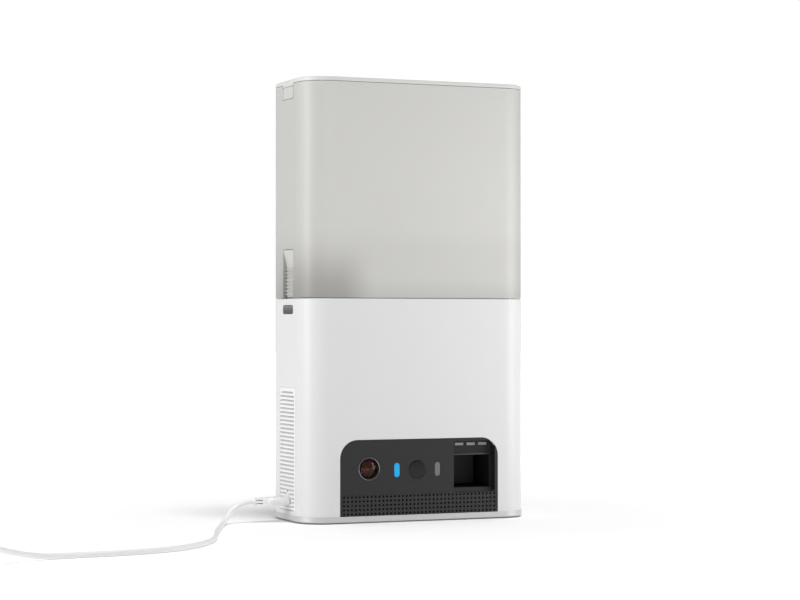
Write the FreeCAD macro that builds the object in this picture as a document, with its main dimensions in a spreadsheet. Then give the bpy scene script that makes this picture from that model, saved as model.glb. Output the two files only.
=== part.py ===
import FreeCAD, Part
import math
import os
import re

import Sketcher

# Treat tossing pet camera. A white base holds the camera, the speaker and the tossing
# gear. A translucent hopper for the treats stands on it and lifts off, under a lid.
# The origin is the middle of the plan, on the surface that the feet stand on. X runs
# along the front to the right, Y runs away from the front and Z is up.

# Driving dimensions, in millimetres, degrees and counts.
SIZES = {
    # overall form
    "width": 145.0,
    "depth": 66.0,
    "corner_radius": 16.5,
    "wall": 2.2,
    "seam": 132.5,  # height of the joint between base and hopper
    "lid_seam": 259.9,
    "lid_band": 2.6,
    "lid_round": 0.9,
    "side_centre": -2.5,  # middle of everything in the two sides, along Y
    # clearances
    "clearance": 0.3,  # between pieces that move apart
    "fit": 0.1,  # between fixed pieces
    "bearing": 0.08,  # round a shaft or a pin
    "edge_break": 0.4,
    # plate, feet and screws
    "foot_gap": 0.8,  # the plate stands this far off the floor
    "foot_height": 2.0,
    "foot_radius": 5.0,
    "foot_inset_x": 26.5,  # of a foot from the outer face, along X and Y
    "foot_inset_y": 13.0,
    "plate_edge": 3.4,
    "plate_lip": 0.4,
    "rim_height": 4.0,
    "rim_wall": 1.6,
    "boss_radius": 3.6,
    "screw_radius": 1.4,
    "screw_length": 14.0,
    "head_radius": 2.6,
    "head_height": 2.0,
    # front panel
    "panel_width": 101.8,
    "panel_top": 49.0,
    "panel_radius": 11.0,
    "panel_flange": 1.5,
    "flange_wall": 1.2,
    # camera, lights and sensor
    "lens_x": -32.75,
    "lens_z": 31.9,
    "ring_radius": 6.75,
    "ring_proud": 0.3,
    "lens_radius": 5.35,
    "lens_curve": 9.0,
    "lens_proud": 0.35,
    "barrel_length": 12.0,
    "holder_size": 16.0,
    "holder_depth": 3.0,
    "camera_board_size": 22.0,
    "board_wall": 1.6,
    "light_z": 30.8,
    "light_width": 3.4,
    "light_height": 8.4,
    "light_depth": 6.0,
    "power_x": -14.9,
    "status_x": 11.2,
    "sensor_x": -1.8,
    "sensor_radius": 5.5,
    "sensor_depth": 1.6,
    "sensor_ledge": 0.8,
    "light_board_height": 14.0,
    # speaker grille
    "grille_columns": 40,
    "grille_rows": 5,
    "grille_pitch": 2.487,
    "grille_hole": 1.2,
    "grille_z": 10.4,
    "grille_margin": 0.3,
    "grille_wall": 2.0,
    "speaker_width": 36.0,
    "speaker_depth": 8.0,
    "speaker_radius": 4.0,
    # toss opening and chamber
    "toss_width": 27.1,
    "toss_side": 1.9,  # from the opening to the edge of the panel, at its right and its top
    "toss_bottom": 16.6,
    "toss_head": 1.7,
    "toss_radius": 1.5,
    "toss_recess": 5.0,
    "brow_height": 8.3,  # of the slotted brow, under the top of the opening
    "brow_wall": 1.5,
    "sill_rise": 2.4,  # over the bottom of the opening, up a slope
    "cheek": 1.5,
    "chamber_wall": 1.6,
    "chamber_rise": 4.7,  # of its top over the top of the opening
    "chamber_depth": 33.0,
    "chamber_curve": 8.0,  # of the floor, up the back wall
    "slot_count": 3,
    "slot_width": 5.8,
    "slot_height": 1.8,
    "slot_pitch": 7.6,
    "slot_drop": 2.3,
    "window_inset": 0.4,  # of the frosted windows in the slots, behind the face of the brow
    # chute
    "chute_side": 1.0,  # from the cheeks to the inside of the chute
    "chute_front_depth": 6.6,  # at the foot, where the treat drops before the kicker
    "chute_back_depth": 19.6,
    "chute_bend_low": 60.0,
    "chute_bend_high": 80.0,
    "chute_lip": 0.5,  # each side of the hole in the deck
    "chute_flange": 4.5,
    # kicker and its gears
    "kick_depth": 24.0,
    "kick_rise": 4.0,  # of its axis over the brow
    "kick_shaft_radius": 1.5,
    "kick_hub_radius": 3.4,
    "paddle_lift": 1.0,  # over the sill
    "paddle_wall": 2.4,
    "paddle_gap": 2.0,
    "paddle_rib": 1.6,
    "paddle_corner": 2.0,
    "kick_teeth": 30,
    "kick_pinion_teeth": 10,
    "kick_module": 0.8,
    "kick_face": 3.0,
    "kick_motor_radius": 7.8,
    "kick_motor_length": 20.0,
    "motor_shaft_radius": 1.0,
    "nose_radius": 3.0,
    "shaft_seat": 4.0,  # from the far end of a motor to the end of its shaft
    "bracket_rise": 15.0,
    "bracket_drop": 26.0,
    "bracket_step": 10.0,
    "post_radius": 2.0,
    # feed rotor, its gears and motor
    "rotor_shift": 3.95,  # of its axis from the middle of the chute
    "rotor_teeth": 54,
    "pinion_teeth": 12,
    "feed_module": 1.0,
    "backlash": 0.16,
    "ring_height": 2.6,
    "ring_bore": 24.0,
    "rotor_reach": 23.5,
    "vane_count": 6,
    "vane_wall": 2.0,
    "vane_rise": 8.5,  # over the seam
    "rotor_hub_radius": 6.0,
    "rotor_cap": 5.0,
    "rotor_pin_radius": 2.0,
    "pinion_hub_radius": 3.6,
    "feed_motor_radius": 10.0,
    "feed_motor_length": 22.0,
    "feed_bracket_x": 15.0,
    "feed_bracket_y": 11.0,
    "bracket_gap": 2.4,  # under the deck
    # deck and hopper floor
    "deck_drop": 14.5,  # of the underside of the deck, under the seam
    "deck_wall": 2.0,
    "tray_drop": 5.5,  # of the underside of the hopper's tray, and then of its top
    "tray_floor": 2.0,
    "tray_top_drop": 0.1,
    "tray_inset": 11.0,  # inside the two sides, behind the latches
    "tray_gap": 0.6,
    "funnel_wall": 1.6,
    "outlet_y": -14.7,
    "outlet_radius": 8.0,
    "spigot": 3.5,
    "spigot_gap": 0.4,  # round the spigot, in the collar on the deck
    "ramp_rise": 24.5,
    "ramp_foot": -17.0,
    "right_ramp_rise": 19.5,
    "right_ramp_gap": 2.0,  # from its foot to the sweep of the rotor
    "ramp_wall": 2.2,
    "shield_gap": 0.6,  # over the vanes
    "shield_wall": 1.5,
    "shield_rim": 2.6,
    # latches in the hopper's sides
    "grip_width": 16.5,
    "grip_rise": 28.9,  # of the top of the grip over the seam
    "grip_depth": 2.4,  # how far the ribbed face lies in from the side
    "grip_ramp_rise": 17.9,
    "grip_rib_count": 8,
    "grip_rib_pitch": 2.15,
    "grip_rib": 0.9,
    "grip_rib_foot": 1.2,
    "latch_wall": 2.2,
    "leg_wall": 2.0,
    "latch_lip": 0.8,
    "latch_drop": 11.5,
    "latch_inset": 5.9,  # of the leg behind the release button
    "pin_drop": 2.4,  # under the top of the grip
    "pin_inset": 3.4,
    "pin_radius": 1.0,
    "latch_hub_radius": 2.1,
    "ear_wall": 3.0,
    "ear_radius": 2.2,
    "pocket_half": 12.4,
    "pocket_depth": 9.6,
    "roof_high_rise": 7.2,  # of the roof over a latch, at the side, over the grip
    "roof_low_rise": 1.4,  # and at its inner end, over the pin
    "roof_drop": 3.0,
    "pocket_sink": 7.0,  # from the floor of the tray down to the open foot of a pocket
    # release buttons
    "button_width": 17.5,
    "button_height": 5.4,
    "button_drop": 4.0,  # of its top under the seam
    "button_depth": 2.6,
    "button_flange": 0.8,
    "button_radius": 1.2,
    "nub_half": 1.5,
    "rail_depth": 4.4,
    "rail_wall": 1.2,
    # side vents, port and reset
    "vent_width": 27.0,
    "vent_rise": 1.87,  # of the lowest slot over the plate
    "vent_rows": 30,
    "vent_pitch": 2.408,
    "vent_slot": 1.2,
    "vent_tilt": 1.6,  # how far a slot rises on its way in, so that nothing inside shows
    "vent_margin": 0.4,
    "vent_groove": 0.5,  # along the front edge of the insert
    "vent_shoulder": 2.8,  # from that edge to the slots, less the margin
    "vent_head": 2.4,  # from the highest slot to the top of the insert
    "vent_corner": 2.6,
    "main_board_z": 9.0,
    "board_side": 4.0,  # from the left side to the board
    "board_right": 12.0,
    "board_depth": 16.0,  # from the front to the board
    "standoff_radius": 2.5,
    "standoff_inset": 4.5,  # from the edges of the main board
    "port_width": 9.2,
    "port_height": 3.3,
    "port_depth": 7.2,
    "port_wall": 0.4,
    "port_pad_width": 13.0,
    "port_pad_bottom": 9.3,
    "port_pad_top": 15.6,
    "reset_z": 18.4,
    "reset_radius": 1.0,
    "reset_length": 2.0,  # of the button in front of its switch
    "pinhole_radius": 0.8,
    "reset_pad": 2.0,
    "switch_depth": 6.0,  # of the reset switch inside the side
    "switch_length": 6.0,
    "switch_width": 6.0,
    "switch_height": 5.6,
    "port_board_width": 16.0,
    # lid and its tabs
    "skirt_depth": 13.9,
    "skirt_wall": 1.6,
    "skirt_gap": 0.4,
    "seal_rise": 1.1,  # over the foot of the skirt
    "seal_height": 1.8,
    "seal_depth": 0.8,
    "tab_width": 17.5,
    "tab_height": 7.1,
    "tab_drop": 1.6,
    "tab_wall": 1.9,
    "tab_stem_radius": 1.5,
    "guide_depth": 6.4,  # of the wall that guides the stem of a tab
    "guide_half": 6.0,
    "tab_radius": 1.0,
    # cable
    "cable_diameter": 3.0,
    "plug_length": 14.5,
    "plug_width": 10.5,
    "plug_height": 5.0,
    "plug_radius": 2.2,
    "tongue_gap": 0.6,  # round the metal tongue in its port, from the port's outside
    "relief_length": 6.6,
    "relief_width": 8.6,
    "relief_height": 4.6,
    "relief_tip_width": 5.0,
    "relief_tip_height": 3.8,
    "relief_slot": 0.6,
    "relief_slot_length": 4.4,
    "relief_slot_rise": 0.9,  # of the two slots on a side, over and under the cable's axis
    "relief_core": 1.7,  # half of what the slots leave round the cable
    "coil_x": -313.0,
    "coil_y": -166.0,
    "coil_bore": 11.0,
    "coil_radius": 24.0,
    "coil_height": 12.0,
    "adapter_length": 20.0,
    "adapter_width": 15.5,
    "adapter_height": 8.0,
    "adapter_radius": 2.0,
    "adapter_x": -324.0,
    "shell_width": 12.0,
    "shell_height": 4.5,
    "shell_length": 12.0,
}

# Points that the cable's axis follows, from the strain relief to the coil.
CABLE_ROUTE = [
    (-93.7, -2.5, 12.25),
    (-100.0, -2.5, 12.25),
    (-107.4, -4.4, 8.7),
    (-113.2, -9.8, 3.6),
    (-118.2, -18.6, 1.5),
    (-125.6, -36.0, 1.5),
    (-138.8, -69.0, 1.5),
    (-153.6, -113.0, 1.5),
    (-180.0, -145.0, 1.5),
    (-212.0, -156.0, 1.5),
    (-240.0, -157.0, 1.5),
    (-259.0, -160.5, 1.6),
    (-275.5, -168.8, 5.2),
    (-291.2, -178.9, 10.0),
]

# Heights and places that follow from them, each with the pieces that share it.
DERIVED = {
    "front": "-depth / 2",
    "plate_top": "foot_gap + plate_edge",
    "foot_x": "width / 2 - foot_inset_x",
    "foot_y": "depth / 2 - foot_inset_y",
    # along X and Y, of a boss from the centre of its corner: its screw head clears the wall
    "boss_offset": "(corner_radius - wall - head_radius - clearance) / sqrt(2)",
    "boss_x": "width / 2 - corner_radius + boss_offset",
    "boss_y": "depth / 2 - corner_radius + boss_offset",
    "boss_bottom": "plate_top + rim_height",
    "panel_back": "front + wall + flange_wall",
    "vent_bottom": "plate_top + vent_rise",
    "vent_top": "vent_bottom + (vent_rows - 1) * vent_pitch + vent_slot",
    # toss opening, chamber and chute
    "toss_right": "panel_width / 2 - toss_side",
    "toss_left": "toss_right - toss_width",
    "toss_middle": "toss_right - toss_width / 2",
    "toss_top": "panel_top - toss_head",
    "brow": "toss_top - brow_height",
    "slot_z": "toss_top - slot_drop",
    "sill": "toss_bottom + sill_rise",
    "chamber_left": "toss_left - chamber_wall",
    "chamber_right": "toss_right + chamber_wall",
    "chamber_top": "toss_top + chamber_rise",
    "chamber_back": "front + chamber_depth",
    "chute_left": "toss_left + cheek + chute_side",
    "chute_right": "toss_right - cheek - chute_side",
    "chute_front": "front + chute_front_depth",
    "chute_back": "front + chute_back_depth",
    # kicker and its motor
    "kick_y": "front + kick_depth",
    "kick_z": "brow + kick_rise",
    "kick_reach": "kick_z - sill - paddle_lift",
    "kick_gear_x": "chamber_left - clearance - kick_face",
    "kick_motor_y": "kick_y + kick_module * (kick_teeth + kick_pinion_teeth) / 2",
    # boards
    "board_left": "board_side - width / 2",
    "board_front": "front + board_depth",
    "board_back": "boss_y - boss_radius - clearance",
    "board_top": "main_board_z + board_wall",
    "port_z": "board_top + port_height / 2",
    # heights about the seam
    "housing_top": "seam - clearance / 2",
    "hopper_bottom": "seam + clearance / 2",
    "deck": "seam - deck_drop",
    "deck_top": "deck + deck_wall",
    "tray": "seam - tray_drop",
    "tray_top": "seam - tray_top_drop",
    "tray_width": "width - 2 * tray_inset",
    "well_floor": "tray + tray_floor",
    "funnel_top": "tray_top + funnel_wall",
    "ring_bottom": "well_floor + clearance",
    "vane_top": "seam + vane_rise",
    "shield_z": "vane_top + shield_gap",
    "ramp_top": "seam + ramp_rise",
    "right_ramp_top": "seam + right_ramp_rise",
    "outlet_x": "toss_middle",
    "rotor_x": "outlet_x - rotor_shift",
    "right_ramp_foot": "rotor_x + rotor_reach + right_ramp_gap",
    "pinion_x": "rotor_x - feed_module * (rotor_teeth + pinion_teeth) / 2",
    # latches and buttons
    "grip_top": "seam + grip_rise",
    "grip_ramp": "seam + grip_ramp_rise",
    "pin_z": "grip_top - pin_drop",
    "latch_foot": "seam - latch_drop",
    "roof_high": "grip_top + roof_high_rise",
    "roof_low": "pin_z + roof_low_rise",
    "button_top": "seam - button_drop",
    "button_bottom": "button_top - button_height",
    # lid
    "hopper_top": "lid_seam - clearance / 2",
    "lid_bottom": "lid_seam + clearance / 2",
    "lid_top": "lid_seam + lid_band",
    "skirt_bottom": "lid_seam - skirt_depth",
    "seal_z": "skirt_bottom + seal_rise",
    "tab_top": "lid_seam - tab_drop",
    "tab_bottom": "tab_top - tab_height",
}
SIDES = {"left": -1, "right": 1}

doc = FreeCAD.newDocument("pet_camera")
sheet = doc.addObject("Spreadsheet::Sheet", "Dims")
for row, (alias, number) in enumerate(SIZES.items(), 1):
    sheet.set(f"A{row}", alias)
    sheet.set(f"B{row}", str(number))
    sheet.setAlias(f"B{row}", alias)
doc.recompute()

sub_parts = []


def bound(text):
    """The expression in which each size reads its cell and each derived name is spelt out."""

    def read(match):
        name = match[0]
        if name in DERIVED:
            return f"({bound(DERIVED[name])})"
        return f"Dims.{name}" if name in SIZES else name

    return re.sub(r"[a-z_]\w*", read, str(text))


def number(text):
    """What such an expression comes to."""
    return float(sheet.evalExpression(bound(text)))


def place(item, x, y, z):
    for axis, text in zip("xyz", (x, y, z)):
        item.setExpression(f"Placement.Base.{axis}", bound(text))


def keep(item, label):
    """Makes an object one of the sub-parts."""
    item.Label = label
    sub_parts.append(item)
    return item


# Part primitives and booleans


def block(x, y, z):
    """A box between two values on each axis."""
    item = doc.addObject("Part::Box", "block")
    for prop, (low, high) in zip(("Length", "Width", "Height"), (x, y, z)):
        item.setExpression(prop, bound(f"({high}) - ({low})"))
    place(item, x[0], y[0], z[0])
    return item


def along(axis, centre, low):
    """A point at a value on one axis and at the centre's two values on the others."""
    values = list(centre)
    values.insert("XYZ".index(axis), low)
    return values


def turned(axis):
    """The placement that stands a Z shape along an axis."""
    turn = {"X": (FreeCAD.Vector(0, 1, 0), 90), "Y": (FreeCAD.Vector(1, 0, 0), -90)}
    about, angle = turn.get(axis, (FreeCAD.Vector(0, 0, 1), 0))
    return FreeCAD.Placement(FreeCAD.Vector(), FreeCAD.Rotation(about, angle))


def rod(axis, centre, span, radius):
    """A cylinder along an axis, between two values on it."""
    item = doc.addObject("Part::Cylinder", "rod")
    item.setExpression("Radius", bound(radius))
    item.setExpression("Height", bound(f"({span[1]}) - ({span[0]})"))
    item.Placement = turned(axis)
    place(item, *along(axis, centre, span[0]))
    return item


def taper(axis, centre, span, radius, far_radius):
    """A cone along an axis, with its radius at each end."""
    item = doc.addObject("Part::Cone", "taper")
    item.setExpression("Radius1", bound(radius))
    item.setExpression("Radius2", bound(far_radius))
    item.setExpression("Height", bound(f"({span[1]}) - ({span[0]})"))
    item.Placement = turned(axis)
    place(item, *along(axis, centre, span[0]))
    return item


def fuse(*items):
    if len(items) == 1:
        return items[0]
    item = doc.addObject("Part::MultiFuse", "joined")
    item.Shapes = list(items)
    item.Refine = True
    return item


def cut(base, *tools):
    item = doc.addObject("Part::Cut", "cut")
    item.Base = base
    item.Tool = fuse(*tools)
    item.Refine = True
    return item


def common(base, tool):
    item = doc.addObject("Part::Common", "shared")
    item.Base = base
    item.Tool = tool
    item.Refine = True
    return item


def group(*items):
    """Separate solids of one kind, in one sub-part."""
    item = doc.addObject("Part::Compound", "group")
    item.Links = list(items)
    return item


# Sketches and PartDesign features


def rounded(x, y, radius):
    """Draws a rectangle with four round corners, between two values on each axis."""

    def draw(sketch):
        (left, right), (low, high), turn = map(number, x), map(number, y), number(radius)
        quarter = math.pi / 2
        corners = [(right, low, 1, -1), (right, high, 1, 1), (left, high, -1, 1), (left, low, -1, -1)]
        ends = [(corners[i - 1], corners[i]) for i in range(4)]
        for i, (start, end) in enumerate(ends):
            first = [start[k] - (turn * start[k + 2] if (i + k) % 2 == 0 else 0) for k in (0, 1)]
            last = [end[k] - (turn * end[k + 2] if (i + k) % 2 == 0 else 0) for k in (0, 1)]
            sketch.addGeometry(Part.LineSegment(FreeCAD.Vector(*first), FreeCAD.Vector(*last)))
            middle = FreeCAD.Vector(end[0] - turn * end[2], end[1] - turn * end[3])
            circle = Part.Circle(middle, FreeCAD.Vector(0, 0, 1), turn)
            sketch.addGeometry(Part.ArcOfCircle(circle, (i - 1) * quarter, i * quarter))
        rules = [Sketcher.Constraint("Tangent", i, 2, (i + 1) % 8, 1) for i in range(8)]
        rules += [Sketcher.Constraint("Horizontal", i) for i in (0, 4)]
        rules += [Sketcher.Constraint("Vertical", i) for i in (2, 6)]
        rules += [Sketcher.Constraint("Equal", 1, i) for i in (3, 5, 7)]
        sketch.addConstraint(rules)
        size(sketch, ("Radius", 1), turn, radius)
        size(sketch, ("DistanceX", -1, 1, 6, 1), left, x[0])
        size(sketch, ("DistanceX", -1, 1, 2, 1), right, x[1])
        size(sketch, ("DistanceY", -1, 1, 0, 1), low, y[0])
        size(sketch, ("DistanceY", -1, 1, 4, 1), high, y[1])

    return draw


def polygon(*points):
    """Draws a closed outline of straight edges."""

    def draw(sketch):
        spots = [(number(a), number(b)) for a, b in points]
        count = len(spots)
        for i, spot in enumerate(spots):
            start, end = FreeCAD.Vector(*spot), FreeCAD.Vector(*spots[(i + 1) % count])
            sketch.addGeometry(Part.LineSegment(start, end))
        rules = [Sketcher.Constraint("Coincident", i, 2, (i + 1) % count, 1) for i in range(count)]
        sketch.addConstraint(rules)
        for i, (spot, texts) in enumerate(zip(spots, points)):
            size(sketch, ("DistanceX", -1, 1, i, 1), spot[0], texts[0])
            size(sketch, ("DistanceY", -1, 1, i, 1), spot[1], texts[1])

    return draw


def rectangle(x, y):
    return polygon((x[0], y[0]), (x[1], y[0]), (x[1], y[1]), (x[0], y[1]))


def arched(x, y, radius):
    """Draws a rectangle whose two upper corners are round."""

    def draw(sketch):
        (left, right), (low, high), turn = map(number, x), map(number, y), number(radius)
        vector = FreeCAD.Vector
        arcs = [
            (Part.Circle(vector(right - turn, high - turn), vector(0, 0, 1), turn), 0, math.pi / 2),
            (Part.Circle(vector(left + turn, high - turn), vector(0, 0, 1), turn), math.pi / 2, math.pi),
        ]
        sketch.addGeometry(Part.LineSegment(vector(left, low), vector(right, low)))
        sketch.addGeometry(Part.LineSegment(vector(right, low), vector(right, high - turn)))
        sketch.addGeometry(Part.ArcOfCircle(*arcs[0]))
        sketch.addGeometry(Part.LineSegment(vector(right - turn, high), vector(left + turn, high)))
        sketch.addGeometry(Part.ArcOfCircle(*arcs[1]))
        sketch.addGeometry(Part.LineSegment(vector(left, high - turn), vector(left, low)))
        rules = [Sketcher.Constraint("Coincident", i, 2, j, 1) for i, j in ((0, 1), (5, 0))]
        rules += [Sketcher.Constraint("Tangent", i, 2, i + 1, 1) for i in (1, 2, 3, 4)]
        rules += [Sketcher.Constraint("Horizontal", i) for i in (0, 3)]
        rules += [Sketcher.Constraint("Vertical", i) for i in (1, 5)]
        rules += [Sketcher.Constraint("Equal", 2, 4)]
        sketch.addConstraint(rules)
        size(sketch, ("Radius", 2), turn, radius)
        size(sketch, ("DistanceX", -1, 1, 0, 1), left, x[0])
        size(sketch, ("DistanceX", -1, 1, 0, 2), right, x[1])
        size(sketch, ("DistanceY", -1, 1, 0, 1), low, y[0])
        size(sketch, ("DistanceY", -1, 1, 3, 1), high, y[1])

    return draw


def size(sketch, rule, value, text):
    """Adds a constraint whose value is bound to the sheet."""
    index = sketch.addConstraint(Sketcher.Constraint(*rule, value))
    sketch.setExpression(f"Constraints[{index}]", bound(text))


def outline(inset):
    """Draws the plan of the object, a distance inside its outer face."""
    x = (f"-(width / 2 - ({inset}))", f"width / 2 - ({inset})")
    y = (f"-(depth / 2 - ({inset}))", f"depth / 2 - ({inset})")
    return rounded(x, y, f"corner_radius - ({inset})")


def drawn(body, plane, low, draw):
    """A sketch of the body, on one of its planes moved to a value on that plane's axis."""
    sketch = body.newObject("Sketcher::SketchObject", "sketch")
    origin = next(f for f in body.Origin.OriginFeatures if f.Role == f"{plane}_Plane")
    sketch.AttachmentSupport = (origin, [""])
    sketch.MapMode = "FlatFace"
    # the normal of the XZ plane points along -Y
    sketch.setExpression("AttachmentOffset.Base.z", bound(f"-({low})" if plane == "XZ" else low))
    draw(sketch)
    return sketch


def add(body, plane, span, draw):
    """Pads a sketch from one value to another along the plane's axis."""
    feature = body.newObject("PartDesign::Pad", "pad")
    feature.Profile = drawn(body, plane, span[0], draw)
    feature.Reversed = plane == "XZ"
    feature.setExpression("Length", bound(f"({span[1]}) - ({span[0]})"))
    body.Tip = feature
    return feature


def hollow(body, plane, span, draw):
    """Pockets a sketch from one value to another along the plane's axis."""
    feature = body.newObject("PartDesign::Pocket", "pocket")
    feature.Profile = drawn(body, plane, span[0], draw)
    feature.Reversed = plane != "XZ"
    feature.setExpression("Length", bound(f"({span[1]}) - ({span[0]})"))
    body.Tip = feature
    return feature


def repeat(body, feature, count, pitch, axis="V_Axis"):
    """Repeats a feature along an axis of its sketch."""
    pattern = body.newObject("PartDesign::LinearPattern", "pattern")
    pattern.Originals = [feature]
    pattern.Direction = (feature.Profile[0], [axis])
    pattern.setExpression("Length", bound(f"({count} - 1) * {pitch}"))
    pattern.setExpression("Occurrences", bound(count))
    body.Tip = pattern
    return pattern


def solid(plane, span, draw):
    body = doc.addObject("PartDesign::Body", "body")
    add(body, plane, span, draw)
    return body


def soften(body, kind, amount, z):
    """Cuts or rounds all the edges that lie at one height."""
    doc.recompute()
    height, base = number(z), body.Tip
    names = [
        f"Edge{i}"
        for i, edge in enumerate(base.Shape.Edges, 1)
        if abs(edge.BoundBox.ZMin - height) < 1e-6 and abs(edge.BoundBox.ZMax - height) < 1e-6
    ]
    feature = body.newObject(f"PartDesign::{kind}", "edges")
    feature.Base = (base, names)
    feature.setExpression("Radius" if kind == "Fillet" else "Size", bound(amount))
    body.Tip = feature
    return feature


# Places that are the same on the left and on the right


def inward(side, depth):
    """The X value at a depth inside the outer face of a side."""
    return f"{side} * (width / 2 - ({depth}))"


def between(side, near, far):
    """Two depths inside a side, as an X span that runs upwards."""
    ends = (inward(side, near), inward(side, far))
    return ends if side < 0 else ends[::-1]


def about(centre, half):
    return (f"({centre}) - ({half})", f"({centre}) + ({half})")


def corners(x, y):
    return [(f"{i} * {x}", f"{j} * {y}") for i in (-1, 1) for j in (-1, 1)]


# Gears

PRESSURE_ANGLE = math.radians(20)
ADDENDUM = 0.95  # a tooth's height above and below its pitch circle, in modules
DEDENDUM = 1.2


def gear_outline(teeth, module, first):
    """Points round a spur gear of involute teeth, one tooth centred on an angle in degrees."""
    pitch_radius = teeth * module / 2
    base_radius = pitch_radius * math.cos(PRESSURE_ANGLE)
    root, tip = pitch_radius - DEDENDUM * module, pitch_radius + ADDENDUM * module

    def involute(radius):
        angle = math.acos(min(1, base_radius / radius))
        return math.tan(angle) - angle

    middle = math.pi / (2 * teeth) - number("backlash") / (2 * pitch_radius)
    steps = [root, max(base_radius, root), pitch_radius, tip]
    if root >= base_radius:
        steps = steps[1:]
    flank = [(r, middle + involute(pitch_radius) - involute(max(r, base_radius))) for r in steps]
    points = []
    for tooth in range(teeth):
        centre = math.radians(first) + 2 * math.pi * tooth / teeth
        for radius, half in flank:
            points.append((radius * math.cos(centre - half), radius * math.sin(centre - half)))
        for radius, half in reversed(flank):
            points.append((radius * math.cos(centre + half), radius * math.sin(centre + half)))
    return points


def toothed_disc(teeth, module, face, first, placement):
    """A solid gear blank with its teeth, from z = 0 up to its face width, then placed."""
    points = [FreeCAD.Vector(x, y, 0) for x, y in gear_outline(teeth, module, first)]
    item = doc.addObject("Part::Feature", "gear")
    profile = Part.Face(Part.makePolygon(points + points[:1]))
    item.Shape = profile.extrude(FreeCAD.Vector(0, 0, face))
    item.Placement = placement
    return item


# Base


def base_housing():
    shell = solid("XY", ("plate_top", "housing_top"), outline("0"))
    soften(shell, "Chamfer", "edge_break", "housing_top")
    hollow(shell, "XY", ("plate_top", "housing_top"), outline("wall"))
    bosses = [rod("Z", at, ("boss_bottom", "deck"), "boss_radius") for at in corners("boss_x", "boss_y")]
    pilots = [
        rod("Z", at, span, "screw_radius + fit")
        for at in corners("boss_x", "boss_y")
        for span in (("boss_bottom", "boss_bottom + screw_length"), ("deck - screw_length", "deck"))
    ]
    z = ("plate_top - 1", "panel_top + fit")
    opening = arched(about("0", "panel_width / 2 + fit"), z, "panel_radius")
    panel = solid("XZ", ("front - 1", "front + wall + 1"), opening)
    through = ("-width / 2 - 1", "width / 2 + 1")
    vents = block(through, about("side_centre", "vent_width / 2 + vent_margin"), vent_height("0"))
    y = about("side_centre", "button_width / 2")
    buttons = solid("YZ", through, rounded(y, ("button_bottom", "button_top"), "button_radius + clearance"))
    rails = []
    for side in SIDES.values():
        for low in (
            "button_bottom - button_flange - clearance - rail_wall",
            "button_top + button_flange + clearance",
        ):
            y = about("side_centre", "button_width / 2 + button_flange")
            rails.append(block(between(side, "wall - fit", "rail_depth"), y, (low, f"{low} + rail_wall")))
    keep(fuse(cut(fuse(shell, *bosses), panel, vents, buttons, *pilots), *rails), "base_housing")


def base_plate():
    plate = solid("XY", ("foot_gap", "plate_top"), outline("-plate_lip"))
    soften(plate, "Chamfer", "edge_break", "foot_gap")
    rim = solid("XY", ("plate_top", "boss_bottom"), outline("wall + clearance"))
    hollow(rim, "XY", ("plate_top", "boss_bottom"), outline("wall + clearance + rim_wall"))
    z = ("plate_top - 1", "boss_bottom + 1")
    front_gap = block(about("0", "panel_width / 2 + 2 * panel_flange"), ("-depth / 2", "0"), z)
    y = about("side_centre", "vent_width / 2 + vent_margin + 2 * panel_flange")
    side_gap = block(("-width / 2", "width / 2"), y, z)
    z = ("plate_top", "boss_bottom")
    pillars = [rod("Z", at, z, "boss_radius") for at in corners("boss_x", "boss_y")]
    standoffs = [rod("Z", at, ("plate_top", "main_board_z"), "standoff_radius") for at in standoff_places()]
    screws = []
    for at in corners("boss_x", "boss_y"):
        screws.append(rod("Z", at, ("foot_gap", "boss_bottom"), "screw_radius + fit"))
        screws.append(rod("Z", at, ("foot_gap", "foot_gap + head_height + fit"), "head_radius + fit"))
    seats = [
        rod("Z", at, ("foot_gap", "foot_height"), "foot_radius + fit") for at in corners("foot_x", "foot_y")
    ]
    inside = solid("XY", ("plate_top", "boss_bottom"), outline("wall + clearance"))
    pillars = common(fuse(*pillars), inside)
    rim = cut(rim, front_gap, side_gap)
    keep(cut(fuse(plate, rim, pillars, *standoffs), *screws, *seats), "base_plate")


def standoff_places():
    return [
        (x, y)
        for x in ("board_left + standoff_inset", "board_right - standoff_inset")
        for y in ("board_front + standoff_inset", "board_back - standoff_inset")
    ]


def feet_and_screws():
    feet = [rod("Z", at, ("0", "foot_height"), "foot_radius") for at in corners("foot_x", "foot_y")]
    keep(group(*feet), "rubber_feet")
    screws = []
    for at in corners("boss_x", "boss_y"):
        low = "foot_gap + fit"
        head = rod("Z", at, (low, f"{low} + head_height"), "head_radius")
        shank = rod("Z", at, (low, "boss_bottom + screw_length - 1"), "screw_radius")
        screws.append(fuse(head, shank))
        head = rod("Z", at, ("deck_top", "deck_top + head_height"), "head_radius")
        shank = rod("Z", at, ("deck - screw_length + 1", "deck_top"), "screw_radius")
        screws.append(fuse(head, shank))
    keep(group(*screws), "screws")


def light_shape(x, gap):
    half_width, half_height = f"light_width / 2 + {gap}", f"light_height / 2 + {gap}"
    return rounded(about(x, half_width), about("light_z", half_height), f"light_width / 2 + {gap} - 0.05")


def grille_box(gap):
    half_x = f"(grille_columns - 1) * grille_pitch / 2 + grille_hole / 2 + grille_margin + {gap}"
    half_z = f"(grille_rows - 1) * grille_pitch / 2 + grille_hole / 2 + grille_margin + {gap}"
    return rectangle(about("0", half_x), about("grille_z", half_z))


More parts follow.
